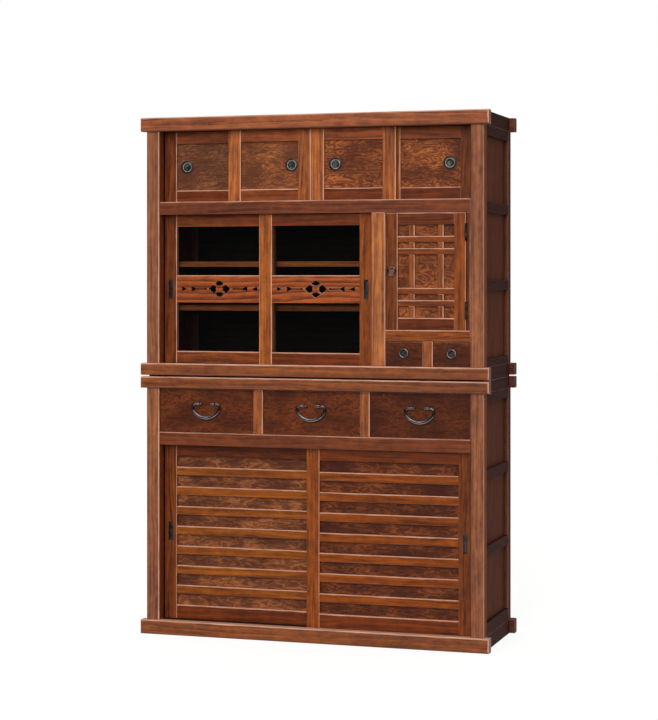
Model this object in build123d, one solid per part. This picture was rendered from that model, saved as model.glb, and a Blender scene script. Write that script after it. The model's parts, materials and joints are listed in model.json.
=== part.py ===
from build123d import *

import math
import os

# ----------------------------------------------------------------------------
# Mizuya kitchen cabinet: a glazed upper unit standing on a lower unit.
# Millimetres. X runs to the right, the front faces -Y, Z is up.
# The origin is on the floor, under the middle of the cabinet.
# ----------------------------------------------------------------------------

# Overall sizes
WIDTH = 1200.0
DEPTH = 450.0
HEIGHT = 1750.0
LOWER_HEIGHT = 873.0

# Frame timber
POST = 45.0                    # square section of the corner posts
RAIL_THICK = 35.0              # front-to-back thickness of the long rails
RAIL_OVERHANG = 18.0           # long rails run this far past the posts
RAIL_PROUD = 10.5              # long rails stand this far in front of the posts
BASE_RAIL_H = 48.0
LOWER_TOP_RAIL_H = 39.0
SEAM_GAP = 5.0                 # daylight between the long rails of the two units
UPPER_SILL_RAIL_H = 40.0
CROWN_RAIL_H = 47.0
INNER_SET_BACK = 5.0           # rails and posts inside the front stand behind the posts
TRACK_SET_BACK = 1.0           # front doors behind the long rails
TRACK_MARGIN = 3.5             # wood behind the rear doors
MID_RAIL_H = 43.0
DRAWER_RAIL_H = 43.0
LATTICE_RAIL_H = 37.0
DIVIDER_POST_W = 48.0
DRAWER_DIVIDER_W = 32.0
SMALL_DIVIDER_W = 34.0
EASE = 2.5                     # chamfer along the long edges of the frame timber

# Heights of the openings; the doors below and between take what is left
SMALL_DOOR_OPENING_H = 239.0
DRAWER_OPENING_H = 149.0
SMALL_DRAWER_OPENING_H = 82.0
RIGHT_BAY_W = 284.0            # bay behind the lattice door

# Sides
SIDE_BAR_H = 32.0
SIDE_BAR_THICK = 32.0
UPPER_FOOT_BAR_H = 27.0
LOWER_FOOT_BAR_H = 40.0
SIDE_PANEL_THICK = 8.0
SIDE_PANEL_RECESS = 14.0

# Boards
BOARD = 12.0                   # floors, tops, dust board
SHELF = 18.0
BACK_PANEL = 8.0
PARTITION = 20.0
LATTICE_FLOOR = 15.0
CLEAT = 18.0                   # square section of the cleats under shelves
SHELF_SET_BACK = 9.5           # loose shelves behind the tracks
SHELF_OVER_TRANSOM = 29.0
SHELF_UNDER_TRANSOM = 10.0
LOWER_SHELF_LEVEL = 292.0      # underside of the lower shelf above the cabinet floor
TOP_BOARD_DROP = 10.0          # the top board lies this far below the crown rails
LOWER_TOP_DROP = 3.0
TRACK_H = 25.0                 # thickness of the grooved sills and of the crown track

# Sliding doors
DOOR_THICK = 22.0
DOOR_STILE = 44.0
LATTICE_STILE = 38.5
DOOR_RAIL = 40.0
DOOR_PASS = 7.0                # gap between a front door and a rear door
DOOR_TENON = 7.0
DOOR_TENON_L = 24.0
TONGUE = 9.4
TONGUE_DOWN = 3.7
TONGUE_UP = 9.0
GROOVE_DOWN = 4.0
GROOVE_UP = 12.0
FRONT_PAIR_SHIFT = -7.0        # the two middle small doors stand a little left of centre
PANEL_RECESS = 8.0
PANEL_THICK = 6.0
GLASS_THICK = 3.0
GLASS_RECESS = 10.0
TRANSOM_H = 92.0
TRANSOM_RECESS = 1.5
TRANSOM_THICK = 8.0
SLAT_COUNT = 7
SLAT_H = 29.0
SLAT_RECESS = 1.5
LOWER_DOOR_BOTTOM_RAIL = 46.0
LATTICE_BAR = 20.0
LATTICE_PAIR_PITCH = 40.0      # centre distance of the two bars of a pair
LATTICE_BAR_INSET = 47.5       # from the door's rail to the first cross bar's centre line
LATTICE_UPRIGHT_INSET = 46.0   # from the door's stile to the upright's centre line
LATTICE_BAR_RECESS = 2.0
LATTICE_UPRIGHT_RECESS = 4.0
SLAT_BACK = 12.0               # back of slats and bars, from the face of the door

# Cut-outs of the transoms: a flower in the middle, from its centre
PETAL_X = (11.2, 23.0, 38.5)   # inner end, waist and point of the level petals
PETAL_X_HALVES = (7.0, 13.7)   # half their width at the inner end and at the waist
PETAL_Z = (11.6, 18.4, 28.6)   # and of the upright petals
PETAL_Z_HALVES = (6.5, 14.8)
PETAL_BOW = 1.2
HEART_HALF = 4.5               # sunk square in the middle of the flower
HEART_DEPTH = 2.0
# and a slit and a dart on each side, at these parts of the way from flower to stile
SLIT_START = 0.046
SLIT_BULB = 0.088
SLIT_NECK = 0.139
SLIT_SHOULDER = 0.40
SLIT_END = 0.542
DART_TIP = 0.676
DART_END = 0.853
SLIT_HALF = 2.0
SLIT_BULB_HALF = 4.0
SLIT_BARB_HALF = 10.0
DART_HALF = 8.0

# Hinged lattice door
JAMB_W = 13.5
JAMB_DEPTH = 30.0
HINGE_SEAM = 3.0               # between door and jamb, holds both leaves
LATTICE_SET_BACK = 9.0         # face of the lattice door behind the posts
KNUCKLE_R = 4.0
HINGE_PIN_R = 1.6
HINGE_LEAF = 1.2
HINGE_LEAF_W = 18.0
HINGE_H = 56.0
HINGE_FROM_END = 64.0          # centre of each hinge from the end of the door
DOOR_STOP = 10.0

# Drawers
DRAWER_SET_BACK = 9.5          # drawer fronts behind the posts
DRAWER_FRONT = 20.0
DRAWER_SIDE = 12.0
DRAWER_SIDE_H = 118.0
DRAWER_BACK_GAP = 17.0         # behind every drawer
DRAWER_BOTTOM = 6.0
SMALL_DRAWER_FRONT = 15.0
SMALL_DRAWER_SIDE = 9.0
SMALL_DRAWER_SIDE_H = 62.0
RUNNER_W = 20.0
RUNNER_H = 12.0
GUIDE_H = 30.0                 # drawer guide above the runners

# Metalwork
ROUND_PULL_R = 22.0
ROUND_RIM = 2.2                # height of the rim
ROUND_RIM_BEVEL = 1.3
ROUND_CUP_R = 18.4             # body let into the panel
ROUND_CUP_DEPTH = 9.0
ROUND_MOUTH_R = 17.5           # dish, at the rim
ROUND_FLOOR_R = 12.6           # and at its floor
ROUND_DISH_DEPTH = 6.6
ROUND_FLOOR_DIP = 0.8
ROUND_PULL_INSETS = (78.5, 69.5, 81.5, 81.0)   # from the edge of each small door
RECT_PULL_W = 15.0
RECT_PULL_H = 64.0
RECT_PULL_RIM = 1.0
RECT_PULL_DEPTH = 8.0
RECT_PULL_WALL = 1.2
RING_R = 13.4
RING_WIRE_R = 2.6
RING_PLATE_R = 13.5
RING_PLATE_THICK = 1.5
RING_PLATE_LIFT = 1.5          # centre of the plate above the centre of the ring
RING_EYE_R = 5.0
RING_EYE_W = 6.0
RING_EYE_BORE = 3.2
RING_STAND_OFF = 6.4           # axis of the ring in front of the wood
BAIL_PIVOT_HALF = 27.3
BAIL_PIN_R = 3.0
BAIL_PIN_FIT = 0.05
BAIL_END_R = 3.6               # the iron swells from its ends
BAIL_SOLE_R = 6.2              # to the middle of its lower side
BAIL_HALF = 48.0
BAIL_DROP = 47.0
BAIL_SHOULDER_R = 12.0
BAIL_HIP_R = 22.0
BAIL_TIP = 18.5                # inner end of the bail's pins
BAIL_BEAD_R = 4.2
BAIL_EYE_R = 5.2
BAIL_EYE_W = 8.0
BAIL_NECK_R = 3.4
BAIL_SEAT_R = 6.0
BAIL_SEAT_THICK = 1.2
BAIL_STAND_OFF = 8.5
BAIL_LEVEL = 98.0              # pivot above the drawer rail

# Clearances and joinery
RUN = 0.3                      # running gap between sliding faces
FIT = 0.2                      # mortises and grooves are this much larger
SIDE_PLAY = 0.5                # end play of a door in its opening
DRAWER_PLAY = 1.0
PAST = 1.0                     # cuts run this far past a face
TENON = 15.0
TENON_SET_IN = 10.0            # a post's tenon is this much narrower on each side
TENON_FACE = 5.0               # wood in front of and behind a tenon
TENON_CHEEK = 8.0              # a rail's tenon is this much narrower on each side
BAR_TENON = 10.0
GROOVE = 6.0                   # depth of the grooves that hold panels
STUB = 12.0                    # short tenons

# ----------------------------------------------------------------------------
# Levels and lines worked out from the sizes above
# ----------------------------------------------------------------------------
RAIL_X = WIDTH / 2
OUTER_X = RAIL_X - RAIL_OVERHANG
INNER_X = OUTER_X - POST
FRONT = -DEPTH / 2
RAIL_BACK = FRONT + RAIL_THICK
POST_FRONT = FRONT + RAIL_PROUD
POST_BACK = POST_FRONT + POST
INNER_FRONT = POST_FRONT + INNER_SET_BACK
BACK_FACE = -RAIL_BACK - BACK_PANEL
TRACK_FRONT_Y = RAIL_BACK + TRACK_SET_BACK
TRACK_REAR_Y = TRACK_FRONT_Y + DOOR_THICK + DOOR_PASS
INNER_BACK = TRACK_REAR_Y + DOOR_THICK + TRACK_MARGIN
SHELF_FRONT = INNER_BACK + SHELF_SET_BACK

LOWER_SILL_Z = BASE_RAIL_H
LOWER_TOP_Z = LOWER_HEIGHT - LOWER_TOP_RAIL_H
DRAWER_SILL_Z = LOWER_TOP_Z - DRAWER_OPENING_H
LOWER_LINTEL_Z = DRAWER_SILL_Z - DRAWER_RAIL_H
UPPER_RAIL_Z = LOWER_HEIGHT + SEAM_GAP
UPPER_SILL_Z = UPPER_RAIL_Z + UPPER_SILL_RAIL_H
CROWN_Z = HEIGHT - CROWN_RAIL_H
SMALL_SILL_Z = CROWN_Z - SMALL_DOOR_OPENING_H
MID_LINTEL_Z = SMALL_SILL_Z - MID_RAIL_H
LATTICE_RAIL_Z = UPPER_SILL_Z + SMALL_DRAWER_OPENING_H
LATTICE_SILL_Z = LATTICE_RAIL_Z + LATTICE_RAIL_H

BAY_X = INNER_X - RIGHT_BAY_W
DIVIDER_X = (BAY_X - DIVIDER_POST_W, BAY_X)
PARTITION_X = (DIVIDER_X[0] + (DIVIDER_POST_W - PARTITION) / 2,
               DIVIDER_X[0] + (DIVIDER_POST_W + PARTITION) / 2)
DRAWER_BAY_W = (2 * INNER_X - 2 * DRAWER_DIVIDER_W) / 3
SMALL_BAY_W = (RIGHT_BAY_W - SMALL_DIVIDER_W) / 2

PANEL_X = (OUTER_X - SIDE_PANEL_RECESS - SIDE_PANEL_THICK, OUTER_X - SIDE_PANEL_RECESS)
TRANSOM_MIDDLE = (UPPER_SILL_Z + MID_LINTEL_Z) / 2


# ----------------------------------------------------------------------------
# Helpers
# ----------------------------------------------------------------------------
def block(x, y, z):
    """A board between three pairs of coordinates."""
    pairs = (x, y, z)
    sizes = [high - low for low, high in pairs]
    middles = [(high + low) / 2 for low, high in pairs]
    return Pos(*middles) * Box(*sizes)


def around(middle, half):
    return (middle - half, middle + half)


def inset(pair, by):
    return (pair[0] + by, pair[1] - by)


def board_in(x, y, z, room=0.0):
    """A block that is larger by room on every side, for cutting its own seat."""
    return block(inset(x, -room), inset(y, -room), inset(z, -room))


def eased(timber, axis):
    """Chamfers the four long edges of a squared timber."""
    return chamfer(timber.edges().filter_by(axis), EASE)


def mirrored_x(shape):
    return mirror(shape, Plane.YZ)


def mirrored_y(shape):
    return mirror(shape, Plane.XZ)


def left_and_right(shape):
    return [mirrored_x(shape), shape]


def cylinder_along(axis, radius, length, centre):
    """A cylinder centred on a point, along X or Y."""
    turn = Rot(0, 90, 0) if axis == Axis.X else Rot(90, 0, 0)
    return Pos(*centre) * turn * Cylinder(radius, length)


# ----------------------------------------------------------------------------
# Frames of the two units
# ----------------------------------------------------------------------------
def post_tenon(rail_face, into, room=0.0):
    """Tenon of the right front post, going into a long rail at rail_face."""
    z = (rail_face, rail_face + into) if into > 0 else (rail_face + into, rail_face)
    x = inset((INNER_X, OUTER_X), TENON_SET_IN)
    return board_in(x, inset((POST_FRONT, RAIL_BACK), TENON_FACE), z, room)


def side_rail_tenon(z, room=0.0):
    """Tenon on the front end of the right side rail."""
    x = inset((INNER_X, OUTER_X), TENON_SET_IN)
    return board_in(x, (RAIL_BACK - STUB, RAIL_BACK), z, room)


class Ring:
    """One ring of two long rails and two side rails, with the board that it holds."""

    def __init__(self, foot, height, posts_above, board_top):
        head = foot + height
        self.z = (foot, head)
        self.board_z = (board_top - BOARD, board_top)
        self.post_face = head if posts_above else foot
        self.post_way = -TENON if posts_above else TENON
        self.tenon_z = (foot + TENON_FACE, head - TENON - TENON_FACE)
        if not posts_above:
            self.tenon_z = (foot + TENON + TENON_FACE, head - TENON_FACE)

    def long_rails(self):
        """Front and back rails, mortised for the posts and the side rails."""
        rail = eased(block((-RAIL_X, RAIL_X), (FRONT, RAIL_BACK), self.z), Axis.X)
        for cut in (post_tenon(self.post_face, self.post_way, FIT), side_rail_tenon(self.tenon_z, FIT)):
            rail = rail - cut - mirrored_x(cut)
        return [rail, mirrored_y(rail)]

    def side_rails(self, foot):
        """Rails between the long rails, grooved for the board."""
        rail = block((INNER_X, OUTER_X), (RAIL_BACK, -RAIL_BACK), (foot, self.z[1]))
        tenon = side_rail_tenon(self.tenon_z)
        groove = board_in(around(INNER_X, GROOVE), (RAIL_BACK, -RAIL_BACK), self.board_z, FIT)
        return left_and_right(rail + tenon + mirrored_y(tenon) - groove)

    def board(self, y):
        """Floor or top board, tongued into both side rails."""
        return block(TONGUED_X, y, self.board_z)


def bar_tenon(z, room=0.0):
    """Tenon on the front end of a right side bar."""
    x = inset((OUTER_X - SIDE_BAR_THICK, OUTER_X), TENON_CHEEK)
    return board_in(x, (POST_BACK - BAR_TENON, POST_BACK), inset(z, GROOVE), room)


def inner_rail_tenon(z, room=0.0):
    """Right-hand tenon of a rail between the front posts."""
    y = (INNER_FRONT + TENON_FACE, POST_BACK - TENON_SET_IN)
    return board_in((INNER_X, INNER_X + TENON), y, inset(z, TENON_CHEEK), room)


def corner_post(z, bars, inner_rails):
    """Right front post of a unit; inner_rails are the rails that it carries."""
    post = eased(block((INNER_X, OUTER_X), (POST_FRONT, POST_BACK), z), Axis.Z)
    post = post + post_tenon(z[0], -TENON) + post_tenon(z[1], TENON)
    post = post - board_in(PANEL_X, (POST_BACK - GROOVE, POST_BACK + GROOVE), z, FIT)
    for bar in bars:
        post = post - bar_tenon(bar, FIT)
    for rail in inner_rails:
        post = post - inner_rail_tenon(rail, FIT)
    return post


def corner_posts(z, bars, left_rails, right_rails):
    """The four posts of a unit."""
    back = mirrored_y(corner_post(z, bars, []))
    return [
        mirrored_x(corner_post(z, bars, left_rails)),
        corner_post(z, bars, right_rails),
        mirrored_x(back),
        back,
    ]


def side_bar(z):
    """Right side bar, flush with the posts and grooved for the panels."""
    bar = block((OUTER_X - SIDE_BAR_THICK, OUTER_X), (POST_BACK, -POST_BACK), z)
    tenon = bar_tenon(z)
    bar = bar + tenon + mirrored_y(tenon)
    for face in z:
        bar = bar - board_in(PANEL_X, (POST_BACK, -POST_BACK), around(face, GROOVE), FIT)
    return bar


def side_panel(z):
    """Right side panel, held in the grooves of two bars and two posts."""
    y = (POST_BACK - GROOVE + FIT, -POST_BACK + GROOVE - FIT)
    return block(PANEL_X, y, (z[0] - GROOVE + FIT, z[1] + GROOVE - FIT))


def gaps_between(bars):
    """The pairs of levels between one bar and the next."""
    ordered = sorted(bars)
    return [(low[1], high[0]) for low, high in zip(ordered, ordered[1:])]


def bar_levels(foot, foot_height, head, middles):
    """A bar on the foot, a bar under the head and the bars between them."""
    levels = [(foot, foot + foot_height), (head - SIDE_BAR_H, head)]
    return levels + [around(middle, SIDE_BAR_H / 2) for middle in middles]


UPPER_MIDDLES = [
    MID_LINTEL_Z + SIDE_BAR_H / 2,
    (UPPER_SILL_Z + UPPER_FOOT_BAR_H + MID_LINTEL_Z) / 2,
]
LOWER_FIELD = (LOWER_SILL_Z + LOWER_FOOT_BAR_H, LOWER_TOP_Z - SIDE_BAR_H)
LOWER_PITCH = (LOWER_FIELD[1] - LOWER_FIELD[0] + SIDE_BAR_H) / 3
LOWER_MIDDLES = [LOWER_FIELD[0] - SIDE_BAR_H / 2 + k * LOWER_PITCH for k in (1, 2)]
UPPER_BARS = bar_levels(UPPER_SILL_Z, UPPER_FOOT_BAR_H, CROWN_Z, UPPER_MIDDLES)
LOWER_BARS = bar_levels(LOWER_SILL_Z, LOWER_FOOT_BAR_H, LOWER_TOP_Z, LOWER_MIDDLES)

MID_RAIL_Z = (MID_LINTEL_Z, SMALL_SILL_Z)
DRAWER_RAIL_Z = (LOWER_LINTEL_Z, DRAWER_SILL_Z)
LATTICE_RAIL_LEVELS = (LATTICE_RAIL_Z, LATTICE_SILL_Z)

TONGUED_X = (-INNER_X - GROOVE, INNER_X + GROOVE)
BASE_RING = Ring(0.0, BASE_RAIL_H, True, BASE_RAIL_H)
LOWER_TOP_RING = Ring(LOWER_TOP_Z, LOWER_TOP_RAIL_H, False, LOWER_HEIGHT - LOWER_TOP_DROP)
UPPER_SILL_RING = Ring(UPPER_RAIL_Z, UPPER_SILL_RAIL_H, True, UPPER_SILL_Z)
CROWN_RING = Ring(CROWN_Z, CROWN_RAIL_H, False, HEIGHT - TOP_BOARD_DROP)


def all_side_rails():
    """The upper unit's side rails reach down to those of the lower unit."""
    pieces = []
    for ring in (BASE_RING, LOWER_TOP_RING, CROWN_RING):
        pieces += ring.side_rails(ring.z[0])
    return pieces + UPPER_SILL_RING.side_rails(LOWER_HEIGHT)


# ----------------------------------------------------------------------------
# Rails, tracks and posts inside the front
# ----------------------------------------------------------------------------
def tongue_y(front_face):
    return around(front_face + DOOR_THICK / 2, TONGUE / 2)


def grooves(face, depth, x):
    """Both door grooves, cut from a face; depth is positive upwards."""
    z = (face - PAST, face + depth) if depth > 0 else (face + depth, face + PAST)
    return [block(x, inset(tongue_y(y), -RUN), z) for y in (TRACK_FRONT_Y, TRACK_REAR_Y)]


def cut_all(shape, cuts):
    for cut in cuts:
        shape = shape - cut
    return shape


FULL_X = (-INNER_X, INNER_X)
GLASS_BAY_X = (-INNER_X, DIVIDER_X[0])
INNER_Y = (INNER_FRONT, INNER_BACK)
TRACK_Y = (RAIL_BACK, INNER_BACK)


def inner_rail(z):
    """A deep rail between the front posts, with its two tenons."""
    rail = block(FULL_X, INNER_Y, z)
    for tenon in left_and_right(inner_rail_tenon(z)):
        rail = rail + tenon
    return rail


def divider_tenons(room=0.0):
    x = inset(DIVIDER_X, TENON_SET_IN)
    top_y = (INNER_FRONT + TENON_FACE, TRACK_FRONT_Y)
    top = board_in(x, top_y, (MID_LINTEL_Z, MID_LINTEL_Z + STUB), room)
    foot = board_in(x, inset(TRACK_Y, STUB), (UPPER_SILL_Z - STUB, UPPER_SILL_Z), room)
    return [top, foot]


def mid_rail():
    rail = inner_rail(MID_RAIL_Z)
    rail = cut_all(rail, grooves(SMALL_SILL_Z, -GROOVE_DOWN, FULL_X))
    rail = cut_all(rail, grooves(MID_LINTEL_Z, GROOVE_UP, GLASS_BAY_X))
    return cut_all(rail, divider_tenons(FIT))


def drawer_rail():
    rail = cut_all(inner_rail(DRAWER_RAIL_Z), grooves(LOWER_LINTEL_Z, GROOVE_UP, FULL_X))
    return cut_all(rail, left_and_right(drawer_divider_tenon(FIT)))


def drawer_divider_tenon(room=0.0):
    x = inset(around((DRAWER_BAY_W + DRAWER_DIVIDER_W) / 2, DRAWER_DIVIDER_W / 2), TENON_CHEEK)
    return board_in(x, inset(INNER_Y, TENON), (DRAWER_SILL_Z - STUB, DRAWER_SILL_Z), room)


def drawer_divider():
    x = around((DRAWER_BAY_W + DRAWER_DIVIDER_W) / 2, DRAWER_DIVIDER_W / 2)
    return block(x, INNER_Y, (DRAWER_SILL_Z, LOWER_TOP_Z)) + drawer_divider_tenon()


def track_board(z, x, groove_face, groove_depth):
    board = block(FULL_X, TRACK_Y, z)
    return cut_all(board, grooves(groove_face, groove_depth, x))


def door_tracks():
    """Lower sill, sill of the glazed bay and crown track, all grooved."""
    glass_sill = track_board((UPPER_SILL_Z - TRACK_H, UPPER_SILL_Z), GLASS_BAY_X,
                             UPPER_SILL_Z, -GROOVE_DOWN)
    return [
        track_board((LOWER_SILL_Z - TRACK_H, LOWER_SILL_Z), FULL_X, LOWER_SILL_Z, -GROOVE_DOWN),
        cut_all(glass_sill, divider_tenons(FIT)),
        track_board((CROWN_Z, CROWN_Z + TRACK_H), FULL_X, CROWN_Z, GROOVE_UP),
    ]


def lattice_rail_stub(room=0.0):
    """Left tenon of the rail under the lattice door, in the divider post."""
    y = (INNER_FRONT + TENON_FACE, POST_BACK - TENON_SET_IN)
    return board_in((BAY_X - STUB, BAY_X), y, inset(LATTICE_RAIL_LEVELS, TENON_CHEEK), room)


def small_divider_tenon(room=0.0):
    x = inset(SMALL_DIVIDER_X, TENON_CHEEK)
    return board_in(x, inset(INNER_Y, TENON), (LATTICE_RAIL_Z, LATTICE_RAIL_Z + STUB), room)


SMALL_DIVIDER_X = (BAY_X + SMALL_BAY_W, BAY_X + SMALL_BAY_W + SMALL_DIVIDER_W)


def lattice_rail():
    rail = block((BAY_X, INNER_X), INNER_Y, LATTICE_RAIL_LEVELS)
    rail = rail + inner_rail_tenon(LATTICE_RAIL_LEVELS) + lattice_rail_stub()
    return rail - small_divider_tenon(FIT)


def bay_posts():
    """Divider post, hinge jamb and door stop around the lattice door."""
    post = block(DIVIDER_X, INNER_Y, (UPPER_SILL_Z, MID_LINTEL_Z))
    for tenon in divider_tenons():
        post = post + tenon
    post = post - lattice_rail_stub(FIT)
    door_z = (LATTICE_SILL_Z, MID_LINTEL_Z)
    jamb = block((INNER_X - JAMB_W, INNER_X), (LATTICE_FACE, LATTICE_FACE + JAMB_DEPTH), door_z)
    stop_front = LATTICE_FACE + DOOR_THICK + RUN
    stop = block((BAY_X, BAY_X + DOOR_STOP), (stop_front, stop_front + DOOR_STOP), door_z)
    return [post, jamb, stop]


LATTICE_FACE = POST_FRONT + LATTICE_SET_BACK
BEHIND_Y = (INNER_BACK, BACK_FACE)
OUTER_GUIDE_X = (INNER_X, OUTER_X - SIDE_BAR_THICK)
OUTER_GUIDE_Y = (INNER_BACK, -POST_BACK)


def bay_partitions():
    """Partition behind the divider post, small drawer divider, small drawers' guides."""
    partition = block(PARTITION_X, BEHIND_Y, (UPPER_SILL_Z, SMALL_SILL_Z - BOARD))
    divider = block(SMALL_DIVIDER_X, INNER_Y, (UPPER_SILL_Z, LATTICE_RAIL_Z))
    guide_z = (UPPER_SILL_Z, UPPER_SILL_Z + GUIDE_H)
    guides = [
        block((PARTITION_X[1], BAY_X), BEHIND_Y, guide_z),
        block(SMALL_DIVIDER_X, BEHIND_Y, guide_z),
        block(OUTER_GUIDE_X, OUTER_GUIDE_Y, guide_z),
    ]
    return [partition, divider + small_divider_tenon()] + guides


# ----------------------------------------------------------------------------
# Boards, shelves and cleats
# ----------------------------------------------------------------------------
def back_panels():
    x = inset(FULL_X, RUN)
    y = (BACK_FACE, -RAIL_BACK)
    lower = block(x, y, (LOWER_SILL_Z - TRACK_H, LOWER_TOP_RING.board_z[0]))
    upper = block(x, y, (UPPER_SILL_Z - TRACK_H, CROWN_RING.board_z[0]))
    return [lower, upper]


DUST_Z = (DRAWER_SILL_Z - RUNNER_H - BOARD, DRAWER_SILL_Z - RUNNER_H)
MID_SHELF_Z = (SMALL_SILL_Z - BOARD, SMALL_SILL_Z)
LATTICE_FLOOR_Z = (LATTICE_SILL_Z - LATTICE_FLOOR, LATTICE_SILL_Z)
UPPER_SHELF_Z = TRANSOM_MIDDLE + TRANSOM_H / 2 + SHELF_OVER_TRANSOM
LOWER_GLASS_SHELF_Z = TRANSOM_MIDDLE - TRANSOM_H / 2 - SHELF_UNDER_TRANSOM - SHELF
LOWER_SHELF_Z = LOWER_SILL_Z + LOWER_SHELF_LEVEL
GLASS_SHELF_X = (-INNER_X + RUN, PARTITION_X[0] - RUN)


def shelves():
    y = (SHELF_FRONT, BACK_FACE - RUN)
    levels = [(GLASS_SHELF_X, UPPER_SHELF_Z), (GLASS_SHELF_X, LOWER_GLASS_SHELF_Z),
              (inset(FULL_X, RUN), LOWER_SHELF_Z)]
    return [block(x, y, (z, z + SHELF)) for x, z in levels]


def inner_boards():
    """Floor behind the small doors and floor behind the lattice door."""
    return [
        block(inset(FULL_X, RUN), BEHIND_Y, MID_SHELF_Z),
        block((PARTITION_X[1], INNER_X - RUN), BEHIND_Y, LATTICE_FLOOR_Z),
    ]


def cleat_pair(x, y, top):
    """Two cleats, one against each end of the space, under a board."""
    z = (top - CLEAT, top)
    return [block((x[0], x[0] + CLEAT), y, z), block((x[1] - CLEAT, x[1]), y, z)]


def shelf_cleats():
    loose_y = (SHELF_FRONT, BACK_FACE)
    glass_x = (-INNER_X, PARTITION_X[0])
    pieces = cleat_pair(glass_x, loose_y, UPPER_SHELF_Z)
    pieces += cleat_pair(glass_x, loose_y, LOWER_GLASS_SHELF_Z)
    pieces += cleat_pair(FULL_X, loose_y, LOWER_SHELF_Z)
    pieces += cleat_pair(FULL_X, BEHIND_Y, MID_SHELF_Z[0])
    pieces += cleat_pair(FULL_X, BEHIND_Y, DUST_Z[0])
    pieces += cleat_pair((PARTITION_X[1], INNER_X), BEHIND_Y, LATTICE_FLOOR_Z[0])
    return pieces


def drawer_bay(k):
    """X range of large drawer bay k, counted 0 to 2 from the left."""
    left = -INNER_X + k * (DRAWER_BAY_W + DRAWER_DIVIDER_W)
    return (left, left + DRAWER_BAY_W)


def drawer_runners():
    """Dust board, two runners for each drawer and the guides beside the drawers."""
    pieces = [block(inset(FULL_X, RUN), BEHIND_Y, DUST_Z)]
    runner_z = (DUST_Z[1], DRAWER_SILL_Z)
    for k in range(3):
        left, right = drawer_bay(k)
        pieces.append(block((left, left + RUNNER_W), BEHIND_Y, runner_z))
        pieces.append(block((right - RUNNER_W, right), BEHIND_Y, runner_z))
    guide_z = (DUST_Z[1], DRAWER_SILL_Z + GUIDE_H)
    for k in range(2):
        pieces.append(block((drawer_bay(k)[1], drawer_bay(k + 1)[0]), BEHIND_Y, guide_z))
    return pieces + left_and_right(block(OUTER_GUIDE_X, OUTER_GUIDE_Y, guide_z))


# ----------------------------------------------------------------------------
# Doors
# ----------------------------------------------------------------------------
class Door:
    """Stiles, rails and panel of one door, in its closed place."""

    def __init__(self, x, sill, lintel, face, bottom_rail=DOOR_RAIL, stile=DOOR_STILE,
                 slides=True):
        self.x = x
        self.face = face
        self.y = (face, face + DOOR_THICK)
        self.z = (sill + SIDE_PLAY, lintel - 2 * SIDE_PLAY)
        self.inner_x = inset(x, stile)
        self.inner_z = (sill + bottom_rail, lintel - DOOR_RAIL)
        self.tongues = []
        if slides:
            self.tongues = [(sill - TONGUE_DOWN, self.z[0]), (self.z[1], lintel + TONGUE_UP)]
        self.stiles = [self.member((x[0], self.inner_x[0]), self.z, self.tongues),
                       self.member((self.inner_x[1], x[1]), self.z, self.tongues)]
        self.rails = [self.member(self.inner_x, (self.z[0], self.inner_z[0]), self.tongues[:1]),
                      self.member(self.inner_x, (self.inner_z[1], self.z[1]), self.tongues[1:])]
        self.infill = []
        self.tenon_rails()

    def member(self, x, z, tongues):
        piece = block(x, self.y, z)
        for tongue in tongues:
            piece = piece + block(x, tongue_y(self.face), tongue)
        return piece

    def depth(self, front, back):
        """Y range at these depths behind the face of the door."""
        return (self.face + front, self.face + back)

    def tenon_rails(self):
        middle = around(self.face + DOOR_THICK / 2, DOOR_TENON / 2)
        ends = [(self.z[0], self.inner_z[0]), (self.inner_z[1], self.z[1])]
        reach = inset(self.inner_x, -DOOR_TENON_L)
        for k, z in enumerate(ends):
            tenon_z = inset(z, TENON_CHEEK)
            self.rails[k] = self.rails[k] + block(reach, middle, tenon_z)
            seat = board_in(reach, middle, tenon_z, FIT)
            self.stiles = [stile - seat for stile in self.stiles]

    def cut_frame(self, cut):
        self.stiles = [stile - cut for stile in self.stiles]
        self.rails = [rail - cut for rail in self.rails]

    def let_in(self, x, y, z):
        """An infill board whose edges sit in grooves of the frame."""
        self.cut_frame(board_in(x, y, z, FIT))
        self.infill.append(block(x, y, z))

    def panel(self, front, thick):
        self.let_in(inset(self.inner_x, -GROOVE), self.depth(front, front + thick),
                    inset(self.inner_z, -GROOVE))

    def pieces(self):
        return self.stiles + self.rails + self.infill


def rect_pull_box(door, at_left, room=0.0):
    """The pocket of a rectangular pull in the middle of a stile."""
    stile = (door.x[0], door.inner_x[0]) if at_left else (door.inner_x[1], door.x[1])
    middle_x = sum(stile) / 2
    middle_z = (door.z[0] + door.z[1]) / 2
    x = around(middle_x, RECT_PULL_W / 2 - RECT_PULL_RIM)
    z = around(middle_z, RECT_PULL_H / 2 - RECT_PULL_RIM)
    return inset(x, -room), (door.face, door.face + RECT_PULL_DEPTH + room), inset(z, -room)


def rect_pull(door, at_left):
    """Black iron cup with a thin flange on the face of the stile."""
    x, y, z = rect_pull_box(door, at_left)
    flange = block(inset(x, -RECT_PULL_RIM), (door.face - RECT_PULL_RIM, door.face),
                   inset(z, -RECT_PULL_RIM))
    hollow_y = (door.face - 2 * RECT_PULL_RIM, y[1] - RECT_PULL_WALL)
    hollow = block(inset(x, RECT_PULL_WALL), hollow_y, inset(z, RECT_PULL_WALL))
    return flange + block(x, y, z) - hollow


def with_pull_pocket(door, at_left):
    x, y, z = rect_pull_box(door, at_left, FIT)
    door.cut_frame(block(x, (y[0] - PAST, y[1]), z))


def small_door_x(k):
    """X range of small door k, counted 0 to 3 from the left."""
    width = (2 * INNER_X + 2 * DOOR_STILE) / 4
    lefts = [-INNER_X, FRONT_PAIR_SHIFT - width, FRONT_PAIR_SHIFT, INNER_X - width]
    return inset((lefts[k], lefts[k] + width), SIDE_PLAY)


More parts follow.
